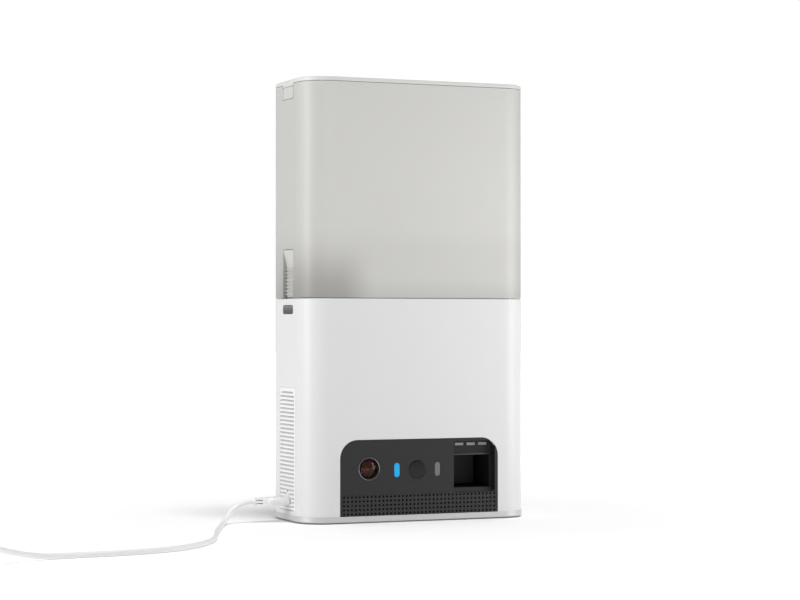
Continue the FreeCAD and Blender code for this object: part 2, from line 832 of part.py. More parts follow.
def front_panel():
    panel = solid(
        "XZ",
        ("front", "front + wall"),
        arched(about("0", "panel_width / 2"), ("plate_top + fit", "panel_top"), "panel_radius"),
    )
    flange = arched(
        about("0", "panel_width / 2 + panel_flange"),
        ("plate_top + fit", "panel_top + panel_flange"),
        "panel_radius + panel_flange",
    )
    add(panel, "XZ", ("front + wall", "panel_back"), flange)
    through = ("front - 1", "panel_back + 1")
    toss = rounded(("toss_left", "toss_right"), ("toss_bottom", "toss_top"), "toss_radius")
    hollow(panel, "XZ", through, toss)
    hollow(panel, "XZ", through, grille_box("fit"))
    for x in ("power_x", "status_x"):
        hollow(panel, "XZ", through, light_shape(x, "fit"))
    lens = rod("Y", ("lens_x", "lens_z"), through, "ring_radius + fit")
    sensor = ("sensor_x", "light_z")
    seat = rod("Y", sensor, (through[0], "front + sensor_depth + fit"), "sensor_radius + fit")
    window = rod("Y", sensor, through, "sensor_radius - sensor_ledge")
    keep(cut(panel, lens, seat, window), "front_panel")


def speaker():
    grille = solid("XZ", ("front", "front + grille_wall"), grille_box("0"))
    left = "-(grille_columns - 1) * grille_pitch / 2"
    low = "grille_z - (grille_rows - 1) * grille_pitch / 2"
    radius = "grille_hole / 2"
    six = [(f"{left} + {radius} * cos({60 * i})", f"{low} + {radius} * sin({60 * i})") for i in range(6)]
    hole = hollow(grille, "XZ", ("front - 1", "front + grille_wall + 1"), polygon(*six))
    pattern = repeat(grille, hole, "grille_rows", "grille_pitch")
    pattern.Direction2 = (hole.Profile[0], ["H_Axis"])
    pattern.setExpression("Length2", bound("(grille_columns - 1) * grille_pitch"))
    pattern.setExpression("Occurrences2", bound("grille_columns"))
    keep(grille, "speaker_grille")
    half_height = "(grille_rows - 1) * grille_pitch / 2 + grille_margin"
    low = "front + grille_wall + fit"
    face = rounded(about("0", "speaker_width / 2"), about("grille_z", half_height), "speaker_radius")
    keep(solid("XZ", (low, f"{low} + speaker_depth"), face), "speaker_driver")


def camera():
    centre = ("lens_x", "lens_z")
    ring = rod("Y", centre, ("front - ring_proud", "front + wall"), "ring_radius")
    bore = rod("Y", centre, ("front - 1", "front + wall + 1"), "lens_radius + fit")
    keep(cut(ring, bore), "lens_ring")
    ball = doc.addObject("Part::Sphere", "ball")
    ball.setExpression("Radius", bound("lens_curve"))
    place(ball, "lens_x", "front - lens_proud + lens_curve", "lens_z")
    glass = rod("Y", centre, ("front - 1", "front + wall"), "lens_radius")
    keep(common(glass, ball), "camera_lens")
    barrel_back = "front + wall + fit + barrel_length"
    barrel = rod("Y", centre, ("front + wall + fit", barrel_back), "ring_radius - fit")
    holder = block(
        about("lens_x", "holder_size / 2"),
        (barrel_back, f"{barrel_back} + holder_depth"),
        about("lens_z", "holder_size / 2"),
    )
    keep(fuse(barrel, holder), "camera_barrel")
    board = block(
        about("lens_x", "camera_board_size / 2"),
        (f"{barrel_back} + holder_depth", f"{barrel_back} + holder_depth + board_wall"),
        about("lens_z", "camera_board_size / 2"),
    )
    keep(board, "camera_board")


def lights():
    span = ("front", "front + light_depth")
    keep(solid("XZ", span, light_shape("power_x", "0")), "power_light")
    keep(solid("XZ", span, light_shape("status_x", "0")), "status_light")
    window = rod("Y", ("sensor_x", "light_z"), ("front", "front + sensor_depth"), "sensor_radius")
    keep(window, "sensor_window")
    board = block(
        ("power_x - light_height / 2", "status_x + light_height / 2"),
        ("front + light_depth + fit", "front + light_depth + fit + board_wall"),
        about("light_z", "light_board_height / 2"),
    )
    keep(board, "light_board")


def vent_height(gap):
    return (f"vent_bottom - vent_margin - {gap}", f"vent_top + vent_head + {gap}")


def vent(name, side):
    half = "vent_width / 2 + vent_margin"
    skin = between(side, "0", "wall + fit")
    flange = between(side, "wall + fit", "wall + flange_wall")
    y = (f"side_centre - ({half}) + vent_groove", f"side_centre + {half} - fit")
    plate = solid("YZ", skin, rectangle(y, vent_height("-fit")))
    z = ("plate_top + fit", vent_height("panel_flange")[1])
    low, high = about("side_centre", f"{half} + panel_flange")
    y = (f"max({low}, -(depth / 2 - corner_radius))", high)  # on the flat of the side
    add(plate, "YZ", flange, rectangle(y, z))
    whole = between(side, "-1", "wall + flange_wall + 1")
    ends = []
    for depth in ("-1", "wall + flange_wall + 1"):
        ends.append((inward(side, depth), f"vent_bottom + ({depth}) * vent_tilt / (wall + flange_wall)"))
    row = polygon(*ends, *[(x, f"{z} + vent_slot") for x, z in reversed(ends)])
    row_ends = ("side_centre - vent_width / 2 + vent_shoulder", "side_centre + vent_width / 2")
    slot = hollow(plate, "XZ", row_ends, row)
    repeat(plate, slot, "vent_rows", "vent_pitch")
    body = between(side, "0", "wall + flange_wall")
    top = vent_height("0")[1]
    for end, edge in zip((-1, 1), row_ends):
        inner = f"{edge} - {end} * vent_corner"
        high = f"{top} - vent_head"
        add(plate, "YZ", body, polygon((edge, f"{high} - vent_corner"), (inner, high), (edge, high)))
    if side < 0:
        z = ("port_pad_bottom", "port_pad_top")
        pad = rectangle(about("side_centre", "port_pad_width / 2"), z)
        add(plate, "YZ", body, pad)
        pad = rectangle(about("side_centre", "reset_pad"), ("port_pad_top - fit", "reset_z + reset_pad"))
        add(plate, "YZ", body, pad)
        port = rectangle(about("side_centre", "port_width / 2"), about("port_z", "port_height / 2"))
        hollow(plate, "YZ", whole, port)
        pinhole = rod("X", ("side_centre", "reset_z"), whole, "pinhole_radius")
        plate = cut(plate, pinhole)
    keep(plate, name)


def boards():
    x, y = ("board_left", "board_right"), ("board_front", "board_back")
    keep(block(x, y, ("main_board_z", "board_top")), "main_board")
    mouth = "wall + flange_wall + fit"
    x = between(-1, mouth, f"{mouth} + port_depth")
    port = block(x, about("side_centre", "port_width / 2"), ("board_top", "board_top + port_height"))
    tongue_room = block(
        between(-1, f"{mouth} - 1", f"{mouth} + port_depth - 3 * port_wall"),
        about("side_centre", "port_width / 2 - port_wall"),
        about("port_z", "port_height / 2 - port_wall"),
    )
    keep(cut(port, tongue_room), "usb_socket")
    far = "switch_depth + switch_length"
    x = between(-1, far, f"{far} + board_wall")
    z = ("board_top", "reset_z + switch_height / 2 + board_wall")
    keep(block(x, about("side_centre", "port_board_width / 2"), z), "port_board")
    x, y = between(-1, "switch_depth", far), about("side_centre", "switch_width / 2")
    switch = block(x, y, about("reset_z", "switch_height / 2"))
    centre = ("side_centre", "reset_z")
    bore = rod("X", centre, between(-1, "switch_depth - 1", "switch_depth + 2"), "reset_radius + bearing")
    keep(cut(switch, bore), "reset_switch")
    x = between(-1, "switch_depth - reset_length", "switch_depth + reset_radius")
    keep(rod("X", centre, x, "reset_radius"), "reset_button")


def deck():
    plate = solid("XY", ("deck", "deck_top"), outline("wall + clearance"))
    outlet, bore = ("outlet_x", "outlet_y"), "outlet_radius + chamber_wall + spigot_gap"
    collar = rod("Z", outlet, ("deck_top", "tray - 2 * clearance"), f"{bore} + chamber_wall")
    collar_bore = rod("Z", outlet, ("deck_top", "tray"), bore)
    drop = rod("Z", outlet, ("deck - 1", "tray"), "outlet_radius")
    shaft = rod("Z", ("pinion_x", "0"), ("deck - 1", "deck_top + 1"), "pinion_hub_radius + clearance")
    holes = [rod("Z", at, ("deck", "deck_top"), "screw_radius + fit") for at in corners("boss_x", "boss_y")]
    keep(cut(fuse(plate, collar), collar_bore, drop, shaft, *holes), "deck")


def chute():
    def profile(offset):
        front_top, back_top = "outlet_y - outlet_radius - chute_lip", "outlet_y + outlet_radius + chute_lip"
        high, low = ("deck", "chamber_top") if offset != "0" else ("deck + 1", "chamber_top - 1")
        return polygon(
            (f"{front_top} - {offset}", high),
            (f"{front_top} - {offset}", "chute_bend_high"),
            (f"chute_front - {offset}", "chute_bend_low"),
            (f"chute_front - {offset}", low),
            (f"chute_back + {offset}", low),
            (f"chute_back + {offset}", "chute_bend_low"),
            (f"{back_top} + {offset}", "chute_bend_high"),
            (f"{back_top} + {offset}", high),
        )

    duct = solid("YZ", ("chute_left - chamber_wall", "chute_right + chamber_wall"), profile("chamber_wall"))
    flange = block(
        ("chute_left - chute_flange", "chute_right + chute_flange"),
        about("outlet_y", "outlet_radius + chute_flange"),
        ("deck - chamber_wall", "deck"),
    )
    bore = solid("YZ", ("chute_left", "chute_right"), profile("0"))
    keep(cut(fuse(duct, flange), bore), "chute")


def brow_slots(span, gap):
    """The row of slots in the brow, or what fills them with a gap round it."""
    first = "toss_middle - (slot_count - 1) * slot_pitch / 2"
    x, z = about(first, f"slot_width / 2 - {gap}"), about("slot_z", f"slot_height / 2 - {gap}")
    row = solid("XZ", span, rectangle(x, z))
    repeat(row, row.Tip, "slot_count", "slot_pitch", "H_Axis")
    return row


def toss_chamber():
    left, right = "chamber_left", "chamber_right"
    recess = "front + toss_recess"
    box = block((left, right), ("panel_back", "chamber_back"), ("sill - 2 * chamber_wall", "chamber_top"))
    cavity = solid(
        "YZ",
        ("toss_left + cheek", "toss_right - cheek"),
        polygon(
            ("panel_back - 1", "sill"),
            ("chamber_back - chamber_curve", "sill"),
            ("chamber_back - 0.45 * chamber_curve", "sill + 0.3 * chamber_curve"),
            ("chamber_back - chamber_wall", "sill + chamber_curve"),
            ("chamber_back - chamber_wall", "chamber_top - chamber_wall"),
            ("chute_back", "chamber_top - chamber_wall"),
            ("chute_back", "chamber_top + 1"),
            ("chute_front", "chamber_top + 1"),
            ("chute_front", "brow"),
            ("panel_back - 1", "brow"),
        ),
    )
    mouth = solid(
        "XZ",
        ("panel_back - 1", recess),
        rounded(("toss_left", "toss_right"), ("toss_bottom", "toss_top"), "toss_radius"),
    )
    slope = solid(
        "YZ",
        (left, right),
        polygon(
            ("panel_back", "toss_bottom - 1"),
            ("panel_back", "toss_bottom"),
            (recess, "sill"),
            (f"{recess} + 1", "sill"),
            (f"{recess} + 1", "toss_bottom - 1"),
        ),
    )
    brow = brow_slots((recess, f"{recess} + brow_wall + 1"), "0")
    shaft = rod("X", ("kick_y", "kick_z"), (f"{left} - 1", f"{right} + 1"), "kick_shaft_radius + bearing")
    keep(cut(box, cavity, cut(mouth, slope), brow, shaft), "toss_chamber")
    keep(brow_slots((f"{recess} + window_inset", f"{recess} + brow_wall"), "fit"), "brow_windows")


# Kicker


def gear_placement_x(x, y, z):
    """Stands a gear drawn in XY on an X shaft: its +X points along +Y and its +Y along +Z."""
    turn = FreeCAD.Rotation(FreeCAD.Vector(1, 1, 1), 120)
    return FreeCAD.Placement(FreeCAD.Vector(number(x), number(y), number(z)), turn)


def kicker():
    axis = ("kick_y", "kick_z")
    left, right = "toss_left + cheek + clearance", "toss_right - cheek - clearance"
    hub = rod("X", axis, (left, right), "kick_hub_radius")
    paddle = solid(
        "XZ",
        ("kick_y - paddle_wall / 2", "kick_y + paddle_wall / 2"),
        rounded(
            (f"{left} + paddle_gap", f"{right} - paddle_gap"),
            ("kick_z - kick_reach", "kick_z"),
            "paddle_corner",
        ),
    )
    ribs = [
        block(
            about(x, "paddle_rib / 2"),
            ("kick_y", "kick_y + kick_hub_radius"),
            ("kick_z - kick_reach + 3 * paddle_rib", "kick_z"),
        )
        for x in (
            f"{left} + paddle_gap + 2 * paddle_rib",
            "toss_middle",
            f"{right} - paddle_gap - 2 * paddle_rib",
        )
    ]
    bore = rod("X", axis, (f"{left} - 1", f"{right} + 1"), "kick_shaft_radius + bearing / 2")
    keep(cut(fuse(hub, paddle, *ribs), bore), "kicker")
    gear_end = "kick_gear_x + kick_face"
    keep(rod("X", axis, ("kick_gear_x - 2", "chamber_right"), "kick_shaft_radius"), "kick_shaft")
    gear = toothed_disc(
        int(number("kick_teeth")),
        number("kick_module"),
        number("kick_face"),
        0,
        gear_placement_x("kick_gear_x", "kick_y", "kick_z"),
    )
    bore = rod("X", axis, ("kick_gear_x - 1", f"{gear_end} + 1"), "kick_shaft_radius + bearing / 2")
    radius = "kick_module * kick_teeth / 4"
    windows = [
        rod(
            "X",
            (f"kick_y + {radius} * cos({60 * i + 30})", f"kick_z + {radius} * sin({60 * i + 30})"),
            ("kick_gear_x - 1", f"{gear_end} + 1"),
            "kick_module * 2.4",
        )
        for i in range(6)
    ]
    keep(cut(gear, bore, *windows), "kick_gear")


def kick_drive():
    axis = ("kick_motor_y", "kick_z")
    gear_end = "kick_gear_x + kick_face"
    teeth = int(number("kick_pinion_teeth"))
    pinion = toothed_disc(
        teeth,
        number("kick_module"),
        number("kick_face"),
        180 + 180 / teeth,
        gear_placement_x("kick_gear_x", "kick_motor_y", "kick_z"),
    )
    bore = rod("X", axis, ("kick_gear_x - 1", f"{gear_end} + 1"), "motor_shaft_radius + bearing / 2")
    keep(cut(pinion, bore), "kick_pinion")
    plate = ("kick_gear_x - clearance - 2 * chamber_wall", "kick_gear_x - clearance - chamber_wall")
    far = f"{plate[0]} - kick_motor_length"
    keep(rod("X", axis, (f"{far} + shaft_seat", gear_end), "motor_shaft_radius"), "kick_motor_shaft")
    can = rod("X", axis, (far, plate[0]), "kick_motor_radius")
    nose = rod("X", axis, plate, "nose_radius")
    x = (f"{far} + shaft_seat - clearance", f"{plate[1]} + 1")
    bore = rod("X", axis, x, "motor_shaft_radius + bearing")
    keep(cut(fuse(can, nose), bore), "kick_motor")
    front = "front + light_depth + fit + board_wall + clearance"
    back = "kick_motor_y + kick_motor_radius + 1"
    bracket = block(plate, (front, back), ("kick_z - bracket_drop", "kick_z + bracket_rise"))
    posts = [
        rod("X", at, (plate[1], "chamber_left"), "post_radius")
        for at in (
            (f"{front} + post_radius", "kick_z + bracket_rise - 2 * post_radius"),
            (f"{front} + post_radius", "kick_z - bracket_drop + 2 * post_radius"),
            ("kick_y + 3 * post_radius", "kick_z - bracket_drop + 2 * post_radius"),
        )
    ]
    nose_hole = rod("X", axis, (f"{plate[0]} - 1", f"{plate[1]} + 1"), "nose_radius + fit")
    shaft_hole = rod(
        "X", ("kick_y", "kick_z"), (f"{plate[0]} - 1", f"{plate[1]} + 1"), "kick_shaft_radius + bearing"
    )
    lower = block(
        (f"{plate[0]} - 1", f"{plate[1]} + 1"),
        ("kick_y + bracket_step", f"{back} + 1"),
        ("kick_z - bracket_drop - 1", "kick_z - bracket_step"),
    )
    keep(cut(fuse(bracket, *posts), nose_hole, shaft_hole, lower), "kick_bracket")


# Feed


def feed_drive():
    axis = ("pinion_x", "0")
    teeth = int(number("pinion_teeth"))
    low = number("ring_bottom") - number("clearance")
    high = number("tray_top") - number("clearance")
    spot = FreeCAD.Vector(number("pinion_x"), 0, low)
    gear = toothed_disc(
        teeth, number("feed_module"), high - low, 180 / teeth, FreeCAD.Placement(spot, FreeCAD.Rotation())
    )
    hub = rod("Z", axis, ("deck_top - 1", "ring_bottom"), "pinion_hub_radius")
    bore = rod("Z", axis, ("deck - 1", "tray_top"), "motor_shaft_radius + bearing / 2")
    keep(cut(fuse(gear, hub), bore), "feed_pinion")
    plate = ("deck - bracket_gap - chamber_wall", "deck - bracket_gap")
    far = f"{plate[0]} - feed_motor_length"
    shaft = rod("Z", axis, (f"{far} + shaft_seat", "tray_top - clearance"), "motor_shaft_radius")
    keep(shaft, "feed_motor_shaft")
    can = rod("Z", axis, (far, plate[0]), "feed_motor_radius")
    nose = rod("Z", axis, plate, "nose_radius")
    bore = rod("Z", axis, (f"{far} + shaft_seat - clearance", "deck"), "motor_shaft_radius + bearing")
    keep(cut(fuse(can, nose), bore), "feed_motor")
    bracket = block(about("pinion_x", "feed_bracket_x"), about("0", "feed_bracket_y"), plate)
    x, y = "(feed_bracket_x - 1.5 * post_radius)", "(feed_bracket_y - 1.5 * post_radius)"
    spots = [(f"pinion_x + {i} * {x}", f"{j} * {y}") for i in (-1, 1) for j in (-1, 1)]
    posts = [rod("Z", at, (plate[1], "deck"), "post_radius") for at in spots]
    hole = rod("Z", axis, (f"{plate[0]} - 1", "deck"), "nose_radius + fit")
    keep(cut(fuse(bracket, *posts), hole), "feed_bracket")


def feed_rotor():
    axis = ("rotor_x", "0")
    ring_top = "ring_bottom + ring_height"
    spot = FreeCAD.Vector(number("rotor_x"), 0, number("ring_bottom"))
    ring = toothed_disc(
        int(number("rotor_teeth")),
        number("feed_module"),
        number("ring_height"),
        180,
        FreeCAD.Placement(spot, FreeCAD.Rotation()),
    )
    ring = cut(ring, rod("Z", axis, ("ring_bottom - 1", f"{ring_top} + 1"), "ring_bore"))
    vanes = []
    count = int(number("vane_count"))
    # a pocket waits over the outlet
    outlet = math.degrees(math.atan2(number("outlet_y"), number("rotor_shift")))
    for i in range(count):
        angle = outlet + 360 / count * (i + 0.5)
        for reach, span in (
            ("ring_bore + vane_wall / 2", ("ring_bottom", ring_top)),
            ("rotor_reach", (ring_top, "vane_top")),
        ):
            vane = block(("0", reach), ("0", "vane_wall"), span)
            vane.Placement.Rotation = FreeCAD.Rotation(FreeCAD.Vector(0, 0, 1), angle)
            place(
                vane,
                f"rotor_x + vane_wall / 2 * sin({angle})",
                f"-vane_wall / 2 * cos({angle})",
                span[0],
            )
            vanes.append(vane)
    hub = rod("Z", axis, ("ring_bottom", "vane_top"), "rotor_hub_radius")
    cap = taper("Z", axis, ("vane_top", "vane_top + rotor_cap"), "rotor_hub_radius", "rotor_hub_radius / 3")
    bore = rod("Z", axis, ("ring_bottom - 1", "vane_top"), "rotor_pin_radius + bearing")
    keep(cut(fuse(ring, hub, cap, *vanes), bore), "feed_rotor")
    keep(rod("Z", axis, ("tray + fit", "vane_top - clearance"), "rotor_pin_radius"), "rotor_pin")


# Hopper


def hopper_tray():
    half = "tray_width / 2"
    depth = "depth / 2 - wall - tray_gap"
    plan = rounded(about("0", half), about("0", depth), "corner_radius - wall - tray_gap")
    tray = solid("XY", ("tray", "tray_top"), plan)
    axis, outlet = ("rotor_x", "0"), ("outlet_x", "outlet_y")
    reach = f"feed_module * (rotor_teeth / 2 + {ADDENDUM})"
    well = rod("Z", axis, ("well_floor", "tray_top + 1"), f"{reach} + tray_gap")
    reach = f"feed_module * (pinion_teeth / 2 + {ADDENDUM})"
    pinion_room = rod("Z", ("pinion_x", "0"), ("tray - 1", "tray_top + 1"), f"{reach} + tray_gap")
    spigot = rod("Z", outlet, ("tray - spigot", "tray"), "outlet_radius + chamber_wall")
    drop = rod("Z", outlet, ("tray - spigot - 1", "well_floor"), "outlet_radius")
    pin = rod("Z", axis, ("tray", "well_floor"), "rotor_pin_radius + bearing / 2")
    left_space = block(
        ("-tray_width / 2 + tray_floor", f"pinion_x - {reach} - tray_gap - tray_floor"),
        about("0", f"{depth} - tray_floor"),
        ("tray - 1", "tray_top - tray_floor"),
    )
    keep(cut(fuse(tray, spigot), well, pinion_room, drop, pin, left_space), "hopper_tray")


def pocket_roof(side, depth, drop):
    """The sloping roof over a latch, as the outline of what is below it."""
    return (
        (inward(side, "1"), f"roof_high - {drop}"),
        (inward(side, depth), f"roof_low - {drop}"),
    )


def hopper_floor():
    half = "tray_width / 2"
    depth = "depth / 2 - wall - tray_gap"
    plan = rounded(about("0", half), about("0", depth), "corner_radius - wall - tray_gap")
    plate = solid("XY", ("tray_top", "funnel_top"), plan)
    left, right = "-(width / 2 - wall - fit)", "width / 2 - wall - fit"
    span = ("-depth / 2", "depth / 2")
    ramps = [
        solid(
            "XZ",
            span,
            polygon(
                (left, "ramp_top"),
                ("ramp_foot", "funnel_top"),
                ("ramp_foot", "tray_top"),
                ("ramp_foot - ramp_wall", "tray_top"),
                (left, "ramp_top - ramp_wall"),
            ),
        ),
        solid(
            "XZ",
            span,
            polygon(
                (right, "right_ramp_top"),
                (right, "right_ramp_top - 1.6 * ramp_wall"),  # steep, so the wall is thicker upright
                ("right_ramp_foot + ramp_wall", "tray_top"),
                ("right_ramp_foot", "tray_top"),
                ("right_ramp_foot", "funnel_top"),
            ),
        ),
    ]
    pockets = []
    for side in SIDES.values():
        roof = pocket_roof(side, "pocket_depth + ramp_wall", "0")
        outer = polygon(*roof, (roof[1][0], "funnel_top + 2"), (roof[0][0], "funnel_top + 2"))
        ramps.append(solid("XZ", about("side_centre", "pocket_half + funnel_wall"), outer))
        roof = pocket_roof(side, "pocket_depth", "roof_drop")
        inner = polygon(*roof, (roof[1][0], "tray - pocket_sink"), (roof[0][0], "tray - pocket_sink"))
        pockets.append(solid("XZ", about("side_centre", "pocket_half"), inner))
    inside = solid("XY", ("tray", "roof_high"), outline("wall + fit"))
    mouth = rod("Z", ("rotor_x", "0"), ("tray", "ramp_top"), "rotor_reach + tray_gap")
    keep(cut(fuse(plate, common(fuse(*ramps), inside)), mouth, *pockets), "hopper_floor")


def outlet_shield():
    y_front = "-depth / 2 + wall + tray_gap + fit"
    x, y = about("outlet_x", "outlet_radius + shield_rim"), (y_front, "-(rotor_hub_radius + clearance)")
    plate = solid("XY", ("shield_z", "shield_z + shield_wall"), rounded(x, y, "shield_rim"))
    x, y = about("outlet_x", "outlet_radius"), (y_front, f"{y_front} + shield_rim")
    foot = block(x, y, ("funnel_top", "shield_z"))
    keep(fuse(plate, foot), "outlet_shield")


def hopper_shell():
    shell = solid("XY", ("hopper_bottom", "hopper_top"), outline("0"))
    soften(shell, "Chamfer", "edge_break", "hopper_bottom")
    hollow(shell, "XY", ("hopper_bottom", "hopper_top"), outline("wall"))
    through = ("-width / 2 - 1", "width / 2 + 1")
    grips = block(
        through,
        about("side_centre", "grip_width / 2 + clearance"),
        ("hopper_bottom - 1", "grip_top + clearance"),
    )
    y = about("side_centre", "tab_width / 2 + clearance")
    tabs = block(through, y, ("tab_bottom - clearance", "hopper_top + 1"))
    ears, pins = [], []
    for side in SIDES.values():
        for end in (-1, 1):
            near = f"side_centre + {end} * (grip_width / 2 + clearance)"
            far = f"side_centre + {end} * (grip_width / 2 + ear_wall)"
            y = (near, far) if end > 0 else (far, near)
            x = between(side, "wall - fit", "pin_inset + ear_radius")
            ears.append(block(x, y, about("pin_z", "ear_radius")))
        y = about("side_centre", "grip_width / 2 + ear_wall + 1")
        pins.append(rod("Y", (inward(side, "pin_inset"), "pin_z"), y, "pin_radius + bearing"))
    keep(cut(fuse(cut(shell, grips, tabs), *ears), *pins), "hopper_shell")


def latch(name, side):
    def at(depth, z):
        return (inward(side, depth), z)

    y = about("side_centre", "grip_width / 2")
    lever = solid(
        "XZ",
        y,
        polygon(
            at("0", "grip_top"),
            at("0", "grip_top - latch_lip"),
            at("grip_depth", "grip_ramp"),
            at("grip_depth", "seam + latch_lip"),
            at("latch_inset", "seam - 2 * latch_lip"),
            at("latch_inset", "latch_foot"),
            at("latch_inset + leg_wall", "latch_foot"),
            at("latch_inset + leg_wall", "seam - latch_lip"),
            at("grip_depth + latch_wall", "seam + 2 * latch_lip"),
            at("grip_depth + latch_wall", "grip_ramp + latch_lip"),
            at("pin_inset", "pin_z - pin_radius"),
            at("pin_inset", "grip_top"),
        ),
    )
    first = "grip_ramp - grip_rib_count * grip_rib_pitch + grip_rib_pitch / 2"
    rib = add(
        lever,
        "XZ",
        y,
        polygon(
            at("grip_depth + fit", first),
            at("grip_depth - grip_rib", f"{first} + grip_rib_foot / 4"),
            at("grip_depth - grip_rib", f"{first} + grip_rib_foot * 3 / 4"),
            at("grip_depth + fit", f"{first} + grip_rib_foot"),
        ),
    )
    repeat(lever, rib, "grip_rib_count", "grip_rib_pitch")
    axis = (inward(side, "pin_inset"), "pin_z")
    hub = rod("Y", axis, y, "latch_hub_radius")
    bore = rod("Y", axis, about("side_centre", "grip_width"), "pin_radius + bearing")
    keep(cut(fuse(lever, hub), bore), name)
    pin_span = about("side_centre", "grip_width / 2 + ear_wall")
    keep(rod("Y", axis, pin_span, "pin_radius"), name.replace("latch", "latch_pin"))


def release_button(name, side):
    y = about("side_centre", "button_width / 2 - clearance")
    z = ("button_bottom + clearance", "button_top - clearance")
    button = solid("YZ", between(side, "0", "button_depth"), rounded(y, z, "button_radius"))
    y = about("side_centre", "button_width / 2 + button_flange - clearance")
    z = ("button_bottom - button_flange", "button_top + button_flange")
    add(button, "YZ", between(side, "wall + clearance", "wall + clearance + flange_wall"), rectangle(y, z))
    nub = between(side, "wall + flange_wall", "latch_inset - clearance")
    z = about("(button_bottom + button_top) / 2", "nub_half")
    add(button, "YZ", nub, rectangle(about("side_centre", "2 * nub_half"), z))
    keep(button, name)


# Lid


def lid():
    plate = solid("XY", ("lid_bottom", "lid_top"), outline("0"))
    soften(plate, "Fillet", "lid_round", "lid_top")
    add(plate, "XY", ("skirt_bottom", "lid_bottom"), outline("wall + skirt_gap"))
    hollow(plate, "XY", ("skirt_bottom", "lid_bottom"), outline("wall + skirt_gap + skirt_wall"))
    z = ("seal_z - fit", "seal_z + seal_height + fit")
    groove = solid("XY", z, outline("wall"))
    hollow(groove, "XY", z, outline("wall + skirt_gap + seal_depth"))
    windows = block(
        ("-width / 2", "width / 2"),
        about("side_centre", "tab_width / 2 + clearance"),
        ("tab_bottom - clearance", "tab_top + clearance"),
    )
    tongues, guides, bores = [], [], []
    for side in SIDES.values():
        x, y = between(side, "0", "wall + skirt_gap + skirt_wall"), about("side_centre", "tab_width / 2")
        tongues.append(block(x, y, ("tab_top + clearance", "lid_bottom + fit")))
        x, y = between(side, "guide_depth", "guide_depth + skirt_wall"), about("side_centre", "guide_half")
        guides.append(block(x, y, ("tab_bottom", "lid_bottom + fit")))
        spot = ("side_centre", "(tab_bottom + tab_top) / 2")
        x = between(side, "0", "guide_depth + 2 * skirt_wall")
        bores.append(rod("X", spot, x, "tab_stem_radius + bearing"))
    keep(cut(fuse(cut(plate, groove, windows), *tongues, *guides), *bores), "lid")
    seal = solid("XY", ("seal_z", "seal_z + seal_height"), outline("wall + clearance / 2"))
    hollow(seal, "XY", ("seal_z", "seal_z + seal_height"), outline("wall + skirt_gap + seal_depth - fit"))
    keep(seal, "lid_seal")


def lid_tab(name, side):
    y, z = about("side_centre", "tab_width / 2 - clearance"), ("tab_bottom", "tab_top")
    tab = solid("YZ", between(side, "0", "tab_wall"), rounded(y, z, "tab_radius"))
    spot = ("side_centre", "(tab_bottom + tab_top) / 2")
    x = between(side, "tab_wall - fit", "guide_depth + skirt_wall + clearance")
    stem = rod("X", spot, x, "tab_stem_radius")
    keep(fuse(tab, stem), name)


# Cable


def cable_path():
    """Straight runs joined by tangent arcs, each as large as its two runs allow."""
    points = [FreeCAD.Vector(*point) for point in CABLE_ROUTE]
    edges, radii, here = [], [], points[0]
    for before, corner, after in zip(points, points[1:], points[2:]):
        back, ahead = (before - corner), (after - corner)
        reach = 0.45 * min(back.Length, ahead.Length)
        back.normalize()
        ahead.normalize()
        half_turn = (math.pi - back.getAngle(ahead)) / 2
        radius = reach / math.tan(half_turn)
        middle = corner + (back + ahead).normalize() * (radius / math.cos(half_turn) - radius)
        start, end = corner + back * reach, corner + ahead * reach
        edges += [Part.LineSegment(here, start).toShape(), Part.Arc(start, middle, end).toShape()]
        radii.append(radius)
        here = end
    edges.append(Part.LineSegment(here, points[-1]).toShape())
    return Part.Wire(edges), radii


def cable():
    path, radii = cable_path()
    radius = number("cable_diameter") / 2
    start = path.OrderedEdges[0]
    ring = Part.Circle(start.valueAt(start.FirstParameter), start.tangentAt(start.FirstParameter), radius)
    tube = doc.addObject("Part::Feature", "tube")
    tube.Shape = path.makePipeShell([Part.Wire(ring.toShape())], True, False)
    keep(tube, "usb_cable")
    print("cable: length %.1f, volume %.1f" % (path.Length, tube.Shape.Volume))
    print("cable: section times length %.1f" % (math.pi * radius**2 * path.Length))
    print("cable: radii", " ".join("%.0f" % value for value in radii))


def plug():
    y, z = about("side_centre", "plug_width / 2"), about("port_z", "plug_height / 2")
    face = "-width / 2 - fit"
    back = f"{face} - plug_length"
    keep(solid("YZ", (back, face), rounded(y, z, "plug_radius")), "usb_plug")
    tongue = block(
        (face, "-width / 2 + wall + flange_wall + port_depth - 4 * port_wall"),
        about("side_centre", "port_width / 2 - tongue_gap"),
        about("port_z", "port_height / 2 - tongue_gap"),
    )
    keep(tongue, "plug_tongue")
    strain_relief(back)


def strain_relief(back):
    """A sleeve that tapers both ways, with two slots in each side that let it bend."""
    tip = f"{back} - relief_length"

    def wedge(plane, span, centre, near, far):
        near, far = about(centre, f"{near} / 2"), about(centre, f"{far} / 2")
        return solid(plane, span, polygon((back, near[0]), (back, near[1]), (tip, far[1]), (tip, far[0])))

    y, z = about("side_centre", "relief_width"), about("port_z", "relief_height")
    body = common(
        wedge("XZ", y, "port_z", "relief_height", "relief_tip_height"),
        wedge("XY", z, "side_centre", "relief_width", "relief_tip_width"),
    )
    left = ("side_centre - relief_width", "side_centre - relief_core")
    right = ("side_centre + relief_core", "side_centre + relief_width")
    slots = []
    for i in (-1, 1):
        z = about(f"port_z + {i} * relief_slot_rise", "relief_slot / 2")
        slots += [block((f"{tip} - 1", f"{tip} + relief_slot_length"), y, z) for y in (left, right)]
    keep(cut(body, *slots), "strain_relief")


